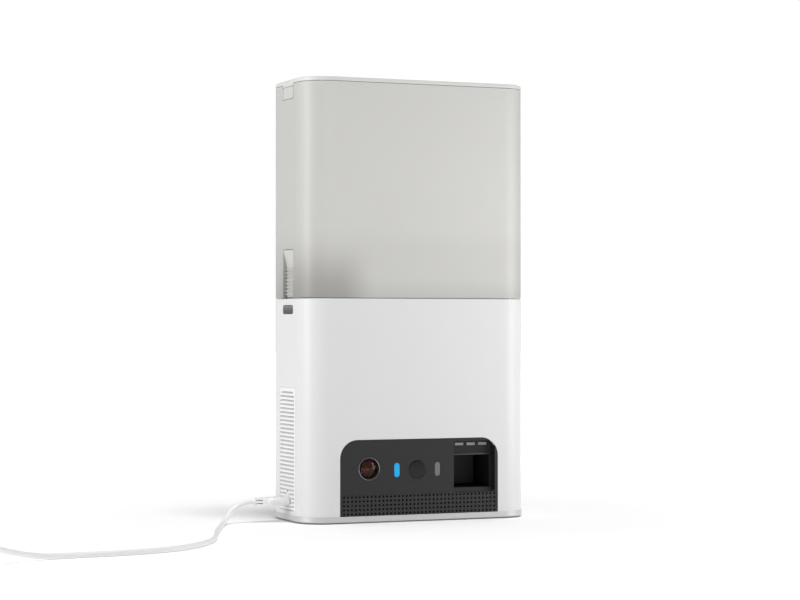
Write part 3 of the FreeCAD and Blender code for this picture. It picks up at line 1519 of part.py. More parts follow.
def coil_and_adapter():
    centre = ("coil_x", "coil_y")
    ring = rod("Z", centre, ("0", "coil_height"), "coil_radius")
    keep(cut(ring, rod("Z", centre, ("-1", "coil_height + 1"), "coil_bore")), "cable_coil")
    nearest = "(coil_x - adapter_x - adapter_width / 2)"
    start = f"coil_y + sqrt(coil_radius ^ 2 - {nearest} ^ 2) + fit"
    end = f"{start} + adapter_length"
    z = ("0", "adapter_height")
    mould = solid("XZ", (start, end), rounded(about("adapter_x", "adapter_width / 2"), z, "adapter_radius"))
    keep(mould, "adapter_plug")
    x, z = about("adapter_x", "shell_width / 2"), about("adapter_height / 2", "shell_height / 2")
    shell = block(x, (end, f"{end} + shell_length"), z)
    mouth = block(
        about("adapter_x", "shell_width / 2 - port_wall"),
        (f"{end} + 1", f"{end} + shell_length + 1"),
        (f"{z[0]} + shell_height / 2", f"{z[1]} - port_wall"),
    )
    keep(cut(shell, mouth), "adapter_shell")


def build():
    base_housing()
    base_plate()
    feet_and_screws()
    front_panel()
    speaker()
    camera()
    lights()
    boards()
    deck()
    chute()
    toss_chamber()
    kicker()
    kick_drive()
    feed_drive()
    feed_rotor()
    hopper_tray()
    hopper_floor()
    outlet_shield()
    hopper_shell()
    lid()
    for name, side in SIDES.items():
        vent(f"vent_{name}", side)
        latch(f"latch_{name}", side)
        release_button(f"release_{name}", side)
        lid_tab(f"lid_tab_{name}", side)
    plug()
    cable()
    coil_and_adapter()
    doc.recompute()


def check():
    """Stops if an object failed, a sub-part is empty or a pocket cut nothing."""
    for item in doc.Objects:
        if {"Invalid", "Error"} & set(item.State):
            raise RuntimeError(f"{item.Name} ({item.Label}) is {item.State}")
        if item.TypeId == "PartDesign::Pocket" and item.Shape.Volume >= item.BaseFeature.Shape.Volume - 1e-6:
            raise RuntimeError(f"{item.Name} cuts nothing")
    labels = [item.Label for item in sub_parts]
    if len(set(labels)) != len(labels):
        raise RuntimeError("two sub-parts have one name")
    for item in sub_parts:
        if item.Shape.isNull() or not item.Shape.isValid() or not item.Shape.Solids:
            raise RuntimeError(f"{item.Label} has no valid solid")


def export():
    os.makedirs("parts", exist_ok=True)
    for item in sub_parts:
        item.Shape.exportStep(f"parts/{item.Label}.step")
    print(len(sub_parts), "sub-parts written")


build()
check()
export()
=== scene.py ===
"""The looks of a treat tossing pet camera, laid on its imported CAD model."""

import math

import bmesh
import bpy
from bpy.props import FloatProperty, FloatVectorProperty, IntProperty, PointerProperty
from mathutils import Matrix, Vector


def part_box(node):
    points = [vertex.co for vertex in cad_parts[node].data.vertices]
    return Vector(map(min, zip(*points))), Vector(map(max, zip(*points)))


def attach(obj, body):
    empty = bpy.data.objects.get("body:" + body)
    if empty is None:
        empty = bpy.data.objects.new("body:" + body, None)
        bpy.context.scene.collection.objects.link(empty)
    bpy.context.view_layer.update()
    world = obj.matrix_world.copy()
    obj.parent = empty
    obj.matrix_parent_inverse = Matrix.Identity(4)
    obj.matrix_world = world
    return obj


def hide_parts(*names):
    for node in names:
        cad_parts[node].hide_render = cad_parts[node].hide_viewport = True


bl_info = {
    "name": "Treat tossing pet camera",
    "version": (1, 0, 0),
    "blender": (4, 5, 0),
    "location": "3D View > Sidebar > Pet camera",
    "description": "Builds the finishes and the fine pieces of a treat tossing pet camera",
    "category": "Object",
}

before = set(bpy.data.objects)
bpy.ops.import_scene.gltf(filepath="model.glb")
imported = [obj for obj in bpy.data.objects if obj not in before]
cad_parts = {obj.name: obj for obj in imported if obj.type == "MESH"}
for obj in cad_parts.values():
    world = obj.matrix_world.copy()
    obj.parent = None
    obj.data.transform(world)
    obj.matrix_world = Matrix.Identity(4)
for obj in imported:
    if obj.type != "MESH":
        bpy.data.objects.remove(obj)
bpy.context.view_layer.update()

MM = 0.001
WHITE = (1.0, 1.0, 1.0, 1.0)
BLACK = (0.0, 0.0, 0.0, 1.0)
CREASE = math.radians(35.0)  # an edge that turns further than this stays sharp
LENS_SIDES = 96  # segments round the lens and what holds it

# Places and sizes, in millimetres.
FRONT = -33.0  # the outer front face, along Y
LENS = (-32.75, 31.9)  # middle of the camera lens, along X and Z
LIGHTS_HIGH = 30.8  # middle of the lights and the sensor window, along Z
PORT = (-2.5, 12.25)  # middle of the port, along Y and Z
PINHOLE = (-2.5, 18.4)  # middle of the pinhole over the reset button, along Y and Z
COIL = (-313.0, -166.0)  # middle of the coil, along X and Y
FAR_PLUG = (-324.0, 4.0)  # middle of the plug at the far end, along X and Z
STRAP = 0.4  # thickness of the strap that ties the coil
CENTRE = 0.001  # radius at which a turned profile ends on its axis

# Points that the cable follows, from the strain relief to the coil.
CABLE_ROUTE = [
    (-93.7, -2.5, 12.25),
    (-100.0, -2.5, 12.25),
    (-107.4, -4.4, 8.7),
    (-113.2, -9.8, 3.6),
    (-118.2, -18.6, 1.5),
    (-125.6, -36.0, 1.5),
    (-138.8, -69.0, 1.5),
    (-153.6, -113.0, 1.5),
    (-180.0, -145.0, 1.5),
    (-212.0, -156.0, 1.5),
    (-240.0, -157.0, 1.5),
    (-259.0, -160.5, 1.6),
    (-275.5, -168.8, 5.2),
    (-291.2, -178.9, 10.0),
]
# Points that lead it from the left of the coil into the far plug.
LEAD_OUT = [
    (-333.6, -158.5, 2.2),
    (-328.5, -151.5, 2.9),
    (-324.2, -146.5, 3.9),
    (-324.0, -138.0, 4.0),
]


# Settings


def colour_property(name, description, default):
    return FloatVectorProperty(
        name=name,
        description=description,
        subtype="COLOR",
        size=3,
        min=0.0,
        max=1.0,
        default=default,
    )


def length_property(name, description, default):
    return FloatProperty(
        name=name, description=description, unit="LENGTH", precision=5, default=default
    )


def share_property(name, description, default):
    return FloatProperty(
        name=name, description=description, subtype="FACTOR", min=0.0, max=1.0, default=default
    )


def strength_property(name, description, default):
    return FloatProperty(name=name, description=description, min=0.0, default=default)


def power_property(name, description, default):
    return FloatProperty(name=name, description=description, subtype="POWER", default=default)


class StageSettings(bpy.types.PropertyGroup):
    """The floor, the lights and the camera."""

    floor_colour: colour_property("Floor", "Colour of the floor", (0.985, 0.985, 0.985))
    floor_reach: length_property("Floor reach", "Radius of the floor", 8.0)
    floor_glow: strength_property("Floor glow", "Light of the floor far from the object", 0.3)
    backdrop: strength_property("Backdrop", "Brightness of what lies behind the floor", 1.02)
    surround: strength_property("Surround", "Light that comes evenly from all round", 0.268)
    overhead: strength_property("Overhead", "Strength of the wide light from above", 1.50)
    wash: strength_property("Wash", "Strength of the light that falls only on the floor", 0.62)
    side: power_property("Side", "Power of the tall soft box on the left", 5.5)
    fill: power_property("Fill", "Power of the soft box at the front right", 0.50)
    lens: FloatProperty(
        name="Lens",
        description="Focal length of the camera",
        unit="CAMERA",
        min=10.0,
        default=99.60,
    )


class BaseSettings(bpy.types.PropertyGroup):
    """Colours and sizes of the base."""

    shell_colour: colour_property("Shell", "Colour of the moulded shell", (0.722, 0.722, 0.724))
    vent_colour: colour_property("Vents", "Colour of the louvred inserts", (0.75, 0.75, 0.75))
    shell_grain: length_property("Shell grain", "Width of the grain in the moulded skin", 0.00045)
    plate_colour: colour_property("Plate", "Colour of the bottom plate", (0.60, 0.605, 0.61))
    panel_colour: colour_property("Panel", "Colour of the front panel", (0.014, 0.014, 0.0145))
    light_colour: colour_property("Power light", "Colour of the lit light", (0.012, 0.41, 0.80))
    glass_colour: colour_property("Lens glass", "Colour of the coated lens", (0.11, 0.018, 0.010))
    glint: power_property("Glint", "Power of the strip that the lens mirrors", 9.0)
    hole: length_property("Grille hole", "Width of one hole of the grille", 0.00128)


class HopperSettings(bpy.types.PropertyGroup):
    """Colours and clearness of the hopper and its lid."""

    tint: colour_property("Tint", "Colour of the frosted plastic", (0.84, 0.835, 0.808))
    clearness: share_property("Clearness", "Share of the light that passes through a wall", 0.34)
    frost: share_property("Frost", "How far the frosted skin scatters light", 0.5)
    floor_colour: colour_property("Floor", "Colour of the ramps inside", (0.22, 0.21, 0.195))
    lid_colour: colour_property("Lid", "Colour of the lid", (0.665, 0.665, 0.643))
    tab_colour: colour_property("Tab", "Colour of the lid's tabs", (0.565, 0.565, 0.55))
    grip_colour: colour_property("Grip", "Colour of the latches", (0.50, 0.495, 0.47))


class CordSettings(bpy.types.PropertyGroup):
    """The cable and its coil."""

    length: length_property("Length", "Length of the whole cable", 1.8)
    diameter: length_property("Diameter", "Diameter of the cable", 0.003)
    coil_outer: length_property("Outer turn", "Radius of the outermost turn of the coil", 0.022)
    coil_inner: length_property("Inner turn", "Radius of the innermost turn of the coil", 0.0128)
    layers: IntProperty(
        name="Layers", description="Layers of turns, one on another", min=1, default=4
    )
    tie_width: length_property("Tie width", "Width of the strap that holds the coil", 0.005)
    colour: colour_property("Cable", "Colour of the cable", (0.86, 0.86, 0.855))


class DriveSettings(bpy.types.PropertyGroup):
    """Colours of the gears, motors and boards."""

    nylon_colour: colour_property("Nylon", "Colour of the gears and the rotor", (0.74, 0.73, 0.68))
    board_colour: colour_property("Board", "Colour of the boards' lacquer", (0.008, 0.045, 0.022))
    moulding_colour: colour_property(
        "Moulding", "Colour of the dark mouldings", (0.017, 0.017, 0.0175)
    )


# Shader trees


class Wire:
    """A value in a shader tree. Arithmetic on it adds its Math nodes."""

    def __init__(self, net, socket):
        self.net = net
        self.socket = socket

    def math(self, operation, *values):
        return self.net.add("ShaderNodeMath", {"operation": operation}, dict(enumerate(values)))

    def __add__(self, other):
        return self.math("ADD", self, other)

    __radd__ = __add__

    def __sub__(self, other):
        return self.math("SUBTRACT", self, other)

    def __rsub__(self, other):
        return self.math("SUBTRACT", other, self)

    def __mul__(self, other):
        return self.math("MULTIPLY", self, other)

    __rmul__ = __mul__

    def __pow__(self, other):
        return self.math("POWER", self, other)

    def __mod__(self, other):
        return self.math("FLOORED_MODULO", self, other)

    def __abs__(self):
        return self.math("ABSOLUTE", self)

    def __gt__(self, other):
        return self.math("GREATER_THAN", self, other)

    def __lt__(self, other):
        return self.math("LESS_THAN", self, other)

    def clamped(self):
        return self.net.add("ShaderNodeClamp", {}, {0: self})

    def ramp(self, low, high):
        """0 below low, 1 above high and smooth between them."""
        settings = {"interpolation_type": "SMOOTHSTEP"}
        return self.net.add("ShaderNodeMapRange", settings, {0: self, 1: low, 2: high})

    def fall(self, low, high):
        """1 below low, 0 above high and smooth between them."""
        return 1 - self.ramp(low, high)

    def swing(self, amount):
        """Noise, which lies about a half, made into a change about zero."""
        return (self - 0.5) * amount


class Net:
    """The shader tree of a material or of the world."""

    def __init__(self, owner):
        owner.use_nodes = True
        self.tree = owner.node_tree
        self.tree.nodes.clear()

    def add(self, kind, settings=None, values=None, output=0):
        """Adds a node of a type, gives it its settings, then its sockets' values or links."""
        node = self.tree.nodes.new(kind)
        for name, value in (settings or {}).items():
            setattr(node, name, value)
        for name, value in (values or {}).items():
            if isinstance(value, Wire):
                self.tree.links.new(value.socket, node.inputs[name])
            else:
                node.inputs[name].default_value = value
        return Wire(self, node.outputs[output]) if node.outputs else None

    def mix(self, factor, first, second):
        """Blends two colours."""
        values = {0: factor, 6: first, 7: second}  # the node's factor and its two colours
        return self.add("ShaderNodeMix", {"data_type": "RGBA"}, values, 2)

    def vector(self, operation, *values):
        settings = {"operation": operation}
        return self.add("ShaderNodeVectorMath", settings, dict(enumerate(values)))


class Finish(Net):
    """A procedural material. Its spot is the place on the object, in metres."""

    def __init__(self, name):
        self.material = bpy.data.materials.new(name)
        super().__init__(self.material)
        self.spot = self.add("ShaderNodeTexCoord", output="Object")

    def axes(self):
        """The three coordinates of the spot."""
        node = self.add("ShaderNodeSeparateXYZ", {}, {0: self.spot}).socket.node
        return [Wire(self, socket) for socket in node.outputs]

    def noise(self, width, detail=2.0, stretch=(1, 1, 1)):
        """Cloudy noise with spots of about that width, in metres."""
        spot = self.vector("MULTIPLY", self.spot, stretch)
        values = {"Vector": spot, "Scale": 1 / width, "Detail": detail}
        return self.add("ShaderNodeTexNoise", {}, values)

    def cells(self, width, metric="EUCLIDEAN"):
        """Distance to the middle of the nearest of scattered cells, over their width."""
        values = {"Vector": self.spot, "Scale": 1 / width}
        return self.add("ShaderNodeTexVoronoi", {"distance": metric}, values, "Distance")

    def bump(self, height, depth):
        """A normal for a height from 0 to 1 that stands for a depth in metres."""
        return self.add(
            "ShaderNodeBump", {}, {"Height": height, "Distance": depth, "Strength": 1.0}
        )

    def surface(self, **values):
        """Adds the Principled shader and the output. Names are its sockets', with _ for spaces."""
        sockets = {name.replace("_", " "): value for name, value in values.items()}
        shader = self.add("ShaderNodeBsdfPrincipled", {}, sockets)
        self.add("ShaderNodeOutputMaterial", {}, {"Surface": shader})
        return self.material


def rgb(colour, scale=1.0):
    """A colour with its alpha, made paler or darker by a scale."""
    return (*[min(1.0, part * scale) for part in colour[:3]], 1.0)


def distance(first, second):
    """Distance from the middle, out of its two parts."""
    return (first * first + second * second) ** 0.5


def moulded(
    name, colour, rough=0.4, grain=0.0004, depth=0.000006, tone=0.03, gloss=0.5, painted_glow=0.0
):
    """Moulded plastic: a fine grain, faint flow clouds and patches that hands have smoothed.

    The grain has a width and a depth in metres. Tone is how far the clouds change the colour,
    and painted_glow is painted light: an even glow over the whole surface.
    """
    cloud, patch = 0.035, 0.012  # widths in metres
    finish = Finish(name)
    fine = finish.noise(grain, detail=3.0)
    flow = finish.noise(cloud, stretch=(1, 1, 0.4))
    worn = finish.noise(patch, detail=3.0)
    # painted light: an even glow over the whole surface, where one is asked for
    values = {"Emission_Color": WHITE, "Emission_Strength": painted_glow} if painted_glow else {}
    return finish.surface(
        Base_Color=finish.mix(flow, rgb(colour, 1 - tone), rgb(colour, 1 + tone)),
        Roughness=(rough + fine.swing(0.12) + worn.swing(0.10)).clamped(),
        Normal=finish.bump(fine, depth),
        Specular_IOR_Level=gloss,
        **values,
    )


def painted_metal(name, colour):
    """Silver paint: fine flakes in a clear coat."""
    flake, ripple, cloud = 0.00022, 0.0012, 0.02  # widths in metres
    finish = Finish(name)
    flakes = finish.cells(flake)
    return finish.surface(
        Base_Color=finish.mix(flakes, rgb(colour, 0.86), rgb(colour, 1.14)),
        Metallic=(0.35 + flakes * 0.3).clamped(),
        Roughness=(0.34 + finish.noise(cloud).swing(0.12) + flakes * 0.05).clamped(),
        Coat_Weight=0.35,
        Coat_Roughness=0.12,
        Normal=finish.bump(finish.noise(ripple), 0.000004),
    )


def turned_steel(name, colour):
    """Bright steel with fine tool marks."""
    mark, stain = 0.00025, 0.004  # widths in metres
    finish = Finish(name)
    marks = finish.noise(mark, detail=3.0)
    stains = finish.noise(stain, detail=3.0)
    return finish.surface(
        Base_Color=finish.mix(stains, rgb(colour, 0.82), rgb(colour, 1.08)),
        Metallic=1.0,
        Roughness=(0.24 + marks * 0.16 + stains.swing(0.12)).clamped(),
        Normal=finish.bump(marks, 0.000008),
    )


def soft_rubber(name, colour, rough=0.75):
    """Rubber or silicone with a dusty skin."""
    speck, pore = 0.003, 0.0003  # widths in metres
    finish = Finish(name)
    dust = finish.noise(speck, detail=4.0)
    return finish.surface(
        Base_Color=finish.mix(dust, rgb(colour, 0.8), rgb(colour, 1.35)),
        Roughness=(rough + dust.swing(0.2)).clamped(),
        Normal=finish.bump(finish.noise(pore), 0.00002),
    )


# Meshes


def ring(count, radius, along, turn=0.0):
    """Points of a circle about the Y axis, at a place along it."""
    step = 2 * math.pi / count
    return [
        Vector((radius * math.cos(turn + step * i), along, radius * math.sin(turn + step * i)))
        for i in range(count)
    ]


def metres(points):
    """Vectors in metres, of points in millimetres."""
    return [Vector(point) * MM for point in points]


def pill(width, height, radius, steps=8):
    """Points of a rectangle with round corners, about its middle."""
    least = 1e-6  # half of the shortest straight side
    radius = min(radius, width / 2 - least, height / 2 - least)
    points = []
    for quarter, (i, j) in enumerate(((1, 1), (-1, 1), (-1, -1), (1, -1))):
        for k in range(steps + 1):
            angle = math.pi / 2 * (quarter + k / steps)
            a = i * (width / 2 - radius) + radius * math.cos(angle)
            b = j * (height / 2 - radius) + radius * math.sin(angle)
            points.append((a, b))
    return points


def cap(tip, sphere, edge, steps):
    """Profile of a part of a sphere, from its edge to its tip on the axis."""
    radii = [edge * (1 - k / steps) + CENTRE for k in range(steps + 1)]
    return [(tip + sphere - math.sqrt(sphere**2 - radius**2), radius) for radius in radii]


def loft(sections, closed=False, caps=(True, True)):
    """A skin over sections that have the same number of points, in millimetres."""
    skin = bmesh.new()
    rows = [[skin.verts.new(point) for point in metres(section)] for section in sections]
    pairs = list(zip(rows, rows[1:]))
    if closed:
        pairs.append((rows[-1], rows[0]))
    for lower, upper in pairs:
        for i in range(len(lower)):
            j = (i + 1) % len(lower)
            skin.faces.new((lower[i], lower[j], upper[j], upper[i]))
    if not closed:
        for wanted, row in zip(caps, (rows[0], rows[-1])):
            if wanted:
                skin.faces.new(row)
    return skin


def place_on(body, name, item, material, stands_for=()):
    """Links an object, gives it its finish and says what it rides on and stands for."""
    item.name = name
    bpy.context.scene.collection.objects.link(item)
    item.data.materials.append(material)
    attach(item, body)
    if stands_for:
        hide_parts(*stands_for)
    return item


def piece(name, body, skin, material, stands_for=()):
    """Makes an object of a skin, with smooth faces between its creases."""
    bmesh.ops.recalc_face_normals(skin, faces=skin.faces)
    mesh = bpy.data.meshes.new(name)
    skin.to_mesh(mesh)
    skin.free()
    mesh.shade_smooth()
    mesh.set_sharp_from_angle(angle=CREASE)
    return place_on(body, name, bpy.data.objects.new(name, mesh), material, stands_for)


def lathe(profile, centre, segments=72, closed=False):
    """A skin turned about an axis along Y. The profile's points are (place on Y, radius)."""
    x, z = centre
    sections = [[Vector((x, 0, z)) + point for point in ring(segments, r, y)] for y, r in profile]
    return loft(sections, closed)


def dress(slot, material):
    """Gives a finish to all that the CAD model has in a material slot."""
    found = False
    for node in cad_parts.values():
        for held in node.material_slots:
            if held.material and held.material.name == slot:
                held.material = material
                found = True
    if not found:
        raise RuntimeError(f"no CAD node has the material slot {slot}")


def refinish(name, material):
    """Gives a finish of its own to one CAD node."""
    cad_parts[name].material_slots[0].material = material


def soften(name, width, segments):
    """Rounds the edges of a CAD node, by a width in millimetres."""
    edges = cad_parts[name].modifiers.new("soft_edges", "BEVEL")
    edges.width = width * MM
    edges.segments = segments


# Stage


def soft_box(name, spot, aim, width, height, power):
    """A lamp with a wide face, turned to its aim and hidden from the camera."""
    light = bpy.data.lights.new(name, "AREA")
    light.shape = "RECTANGLE"
    light.size = width
    light.size_y = height
    light.energy = power
    lamp = bpy.data.objects.new(name, light)
    lamp.location = spot
    lamp.rotation_euler = (Vector(aim) - Vector(spot)).to_track_quat("-Z", "Y").to_euler()
    lamp.visible_camera = False
    bpy.context.scene.collection.objects.link(lamp)
    return lamp


def wide_light(name, strength, angle, turn):
    """A light so far away that it shines the same way everywhere."""
    light = bpy.data.lights.new(name, "SUN")
    light.energy = strength
    light.angle = math.radians(angle)
    lamp = bpy.data.objects.new(name, light)
    lamp.rotation_euler = [math.radians(part) for part in turn]
    bpy.context.scene.collection.objects.link(lamp)
    return lamp


def linked(name, item, state):
    """A group that tells a light to leave out an object, or to light nothing else."""
    group = bpy.data.collections.new(name)
    group.objects.link(item)
    group.collection_objects[0].light_linking.link_state = state
    return group


class PETCAMERA_OT_stage(bpy.types.Operator):
    """Makes the pale floor and the soft studio light"""

    bl_idname = "pet_camera.stage"
    bl_label = "Stage"

    def execute(self, context):
        settings = context.scene.pet_camera_stage
        context.scene.view_settings.view_transform = "Standard"
        floor = self.make_floor(context, settings)
        self.make_world(context, settings)
        wide_light("overhead", settings.overhead, angle=18, turn=(15, 0, 13))
        wash = wide_light("floor_wash", settings.wash, angle=100, turn=(0, 0, 0))
        wash.light_linking.receiver_collection = linked("floor_washed", floor, "INCLUDE")
        spot, aim = (-0.98, -0.10, 0.42), (-0.07, 0.0, 0.14)
        side = soft_box("side_box", spot, aim, width=0.5, height=0.8, power=settings.side)
        spot, aim = (0.29, -0.20, 0.12), (0.03, -0.03, 0.10)
        fill = soft_box("fill_box", spot, aim, width=0.16, height=0.32, power=settings.fill)
        spared = linked("floor_spared", floor, "EXCLUDE")
        for lamp in (side, fill):
            lamp.light_linking.receiver_collection = spared
        return {"FINISHED"}

    def make_floor(self, context, settings):
        """A wide disc of card that glows far from the object, where it meets the backdrop."""
        near, far = 0.06, 0.5  # metres from the middle, between which the glow grows
        dimmed = 0.2  # share of the glow that is left near the object
        skin = bmesh.new()
        bmesh.ops.create_circle(skin, cap_ends=True, segments=96, radius=settings.floor_reach)
        mesh = bpy.data.meshes.new("floor")
        skin.to_mesh(mesh)
        skin.free()
        floor = bpy.data.objects.new("floor", mesh)
        context.scene.collection.objects.link(floor)
        finish = Finish("floor_card")
        fibre = finish.noise(0.002, detail=3.0)
        colour = settings.floor_colour
        across, deep, _ = finish.axes()
        glow = distance(across, deep).ramp(near, far)
        card = finish.surface(
            Base_Color=finish.mix(fibre, rgb(colour, 0.99), rgb(colour, 1.01)),
            Roughness=(0.9 + fibre.swing(0.1)).clamped(),
            Emission_Color=finish.mix(glow, rgb(WHITE, dimmed), WHITE),
            Emission_Strength=settings.floor_glow,
        )
        mesh.materials.append(card)
        return floor

    def make_world(self, context, settings):
        """Even light from all round, and a backdrop of its own brightness."""
        world = bpy.data.worlds.new("studio")
        context.scene.world = world
        net = Net(world)
        seen = net.add("ShaderNodeLightPath", output="Is Camera Ray")
        even, backdrop = [
            net.add("ShaderNodeBackground", {}, {"Color": WHITE, "Strength": strength})
            for strength in (settings.surround, settings.backdrop)
        ]
        both = net.add("ShaderNodeMixShader", {}, {0: seen, 1: even, 2: backdrop})
        net.add("ShaderNodeOutputWorld", {}, {"Surface": both})


class PETCAMERA_OT_view(bpy.types.Operator):
    """Sets up the camera that looks at the front left corner"""

    bl_idname = "pet_camera.view"
    bl_label = "Camera"

    def execute(self, context):
        settings = context.scene.pet_camera_stage
        place = (-519.7, -1242.5, 116.8)  # in millimetres
        tilt, heading = 90.64, -22.73  # in degrees
        data = bpy.data.cameras.new("view")
        data.sensor_width = 36.0
        data.lens = settings.lens
        data.clip_start = 0.01
        data.clip_end = 100.0
        camera = bpy.data.objects.new("view", data)
        camera.location = Vector(place) * MM
        camera.rotation_euler = (math.radians(tilt), 0, math.radians(heading))
        context.scene.collection.objects.link(camera)
        context.scene.camera = camera
        return {"FINISHED"}


# Cable


class PETCAMERA_OT_plug(bpy.types.Operator):
    """Makes the plug at the port with its strain relief, and the plug at the far end"""

    bl_idname = "pet_camera.plug"
    bl_label = "Plugs"

    def execute(self, context):
        colour = context.scene.pet_camera_cord.colour
        gloss = moulded("plug_gloss", rgb(colour, 1.01), rough=0.3, grain=0.0008, depth=0.000002)
        self.near_plug(gloss)
        refinish("strain_relief", moulded("relief_rubber", colour, rough=0.5, tone=0.02))
        soften("strain_relief", 0.3, 3)
        self.far_plug(gloss)
        dress("plug_white", gloss)
        return {"FINISHED"}

    def near_plug(self, gloss):
        """A flat plug, rounded at both ends, with a parting groove round it."""
        y, z = PORT
        corner, steps = 2.35, 10
        # Place along X, width and height of each section.
        stations = [
            (-72.85, 8.7, 3.2),
            (-72.95, 9.6, 4.1),
            (-73.4, 10.25, 4.75),
            (-74.2, 10.5, 5.0),
            (-82.3, 10.5, 5.0),
            (-82.45, 10.2, 4.7),
            (-82.7, 10.2, 4.7),
            (-82.85, 10.5, 5.0),
            (-85.2, 10.3, 4.95),
            (-86.4, 9.4, 4.8),
            (-87.1, 7.6, 4.5),
            (-87.3, 5.6, 4.1),
        ]
        sections = [
            [(x, y + a, z + b) for a, b in pill(width, height, corner, steps)]
            for x, width, height in stations
        ]
        piece("plug_body", "base", loft(sections), gloss, ("usb_plug",))

    def far_plug(self, gloss):
        """A waisted grip with finger ridges, lying beside the coil."""
        x, z = FAR_PLUG
        start, length, count = -142.12, 20.0, 40  # place and length along Y, and steps
        wide, high, corner = 15.5, 8.0, 2.2
        waist_at, waist_spread = 0.42, 0.16  # shares of the length
        sections = []
        for k in range(count + 1):
            y = start + length * k / count
            waist = 1 - 0.10 * math.exp(-(((k / count - waist_at) / waist_spread) ** 2))
            neck = 1 - 0.28 * (1 - min(1, k / 4)) ** 2
            tip = 1 - 0.08 * (1 - min(1, (count - k) / 2)) ** 2
            ridge = 0.25 * max(0, math.sin(math.pi * k / 2.5)) if 10 < k < 24 else 0
            outline = pill(wide * waist * neck * tip - ridge, high * neck * tip, corner)
            sections.append([(x + a, y, z + b) for a, b in outline])
        piece("far_plug_body", "base", loft(sections), gloss, ("adapter_plug",))


class PETCAMERA_OT_cord(bpy.types.Operator):
    """Lays the cable along the floor into its tied coil"""

    bl_idname = "pet_camera.cord"
    bl_label = "Cable"

    def execute(self, context):
        settings = context.scene.pet_camera_cord
        sheath = moulded("cable_sheath", settings.colour, rough=0.42, grain=0.0006, tone=0.02)
        curve = bpy.data.curves.new("cable", "CURVE")
        curve.dimensions = "3D"
        curve.bevel_depth = settings.diameter / 2
        curve.bevel_resolution = 6
        curve.resolution_u = 6
        curve.use_fill_caps = True
        points = metres(CABLE_ROUTE) + self.turns(settings) + metres(LEAD_OUT)
        spline = curve.splines.new("NURBS")
        spline.points.add(len(points) - 1)
        for knot, point in zip(spline.points, points):
            knot.co = (*point, 1.0)
        spline.order_u = 3
        spline.use_endpoint_u = True
        spline.use_smooth = True
        cable = place_on(
            "base",
            "cable",
            bpy.data.objects.new("cable", curve),
            sheath,
            ("usb_cable", "cable_coil"),
        )
        tie = self.tie(settings)
        dress("cable_white", sheath)
        return {"FINISHED"}

    def turns(self, settings):
        """Clockwise turns from the top layer down, wound inwards and outwards by turns."""
        count, clearance = 16, 1.01  # points in a turn, and pitch over diameter
        start, leaves_at = -60, (160, 190)  # directions from the coil's middle, in degrees
        step = 2 * math.pi / count
        descent = count // 3  # points that lead down to the next layer
        spread = 1 / (0.75 + 0.25 * math.cos(step))  # a spline runs inside its points
        outer, inner = settings.coil_outer, settings.coil_inner
        rows = round((outer - inner) / (settings.diameter * clearance) * count)
        angle, radius, way = math.radians(start), outer, 1
        height = self.layer_height(settings, settings.layers - 1)
        points = []

        def mark():
            spot = Vector((math.cos(angle), math.sin(angle), 0)) * radius * spread
            points.append(Vector((COIL[0] * MM, COIL[1] * MM, height)) + spot)

        for layer in reversed(range(settings.layers)):
            for _ in range(rows):
                mark()
                angle -= step
                radius += (inner - outer) / rows * way
            way = -way
            if layer:
                for _ in range(descent):
                    mark()
                    angle -= step
                    height -= settings.diameter / descent
        while not leaves_at[0] <= math.degrees(angle) % 360 <= leaves_at[1]:
            mark()
            angle -= step
        mark()
        return points

    def layer_height(self, settings, layer):
        """Height of the cable's middle in a layer of turns."""
        return STRAP * MM + settings.diameter * (layer + 0.5)

    def tie(self, settings):
        """A strap round the bundle of turns."""
        angle, count = math.radians(100), 72  # place on the coil, and points round the strap
        out = Vector((math.cos(angle), math.sin(angle), 0))
        across = Vector((-out.y, out.x, 0))
        corners = [
            (radius, self.layer_height(settings, layer))
            for radius in (settings.coil_inner, settings.coil_outer)
            for layer in (0, settings.layers - 1)
        ]
        middle = Vector((COIL[0] * MM, COIL[1] * MM, 0))
        rows = []
        for side, lift in ((-0.5, 0.0), (-0.5, STRAP), (0.5, STRAP), (0.5, 0.0)):
            row = []
            for k in range(count):
                turn = 2 * math.pi * k / count
                way = (math.cos(turn), math.sin(turn))
                radius, height = max(corners, key=lambda c: c[0] * way[0] + c[1] * way[1])
                reach = settings.diameter / 2 + lift * MM
                spot = middle + out * (radius + reach * way[0]) + across * side * settings.tie_width
                row.append((spot + Vector((0, 0, height + reach * way[1]))) / MM)
            rows.append(row)
        strap = moulded("tie_web", (0.05, 0.05, 0.052), rough=0.7, grain=0.0005, depth=0.00003)
        return piece("cable_tie", "base", loft(rows, closed=True), strap)


# Base


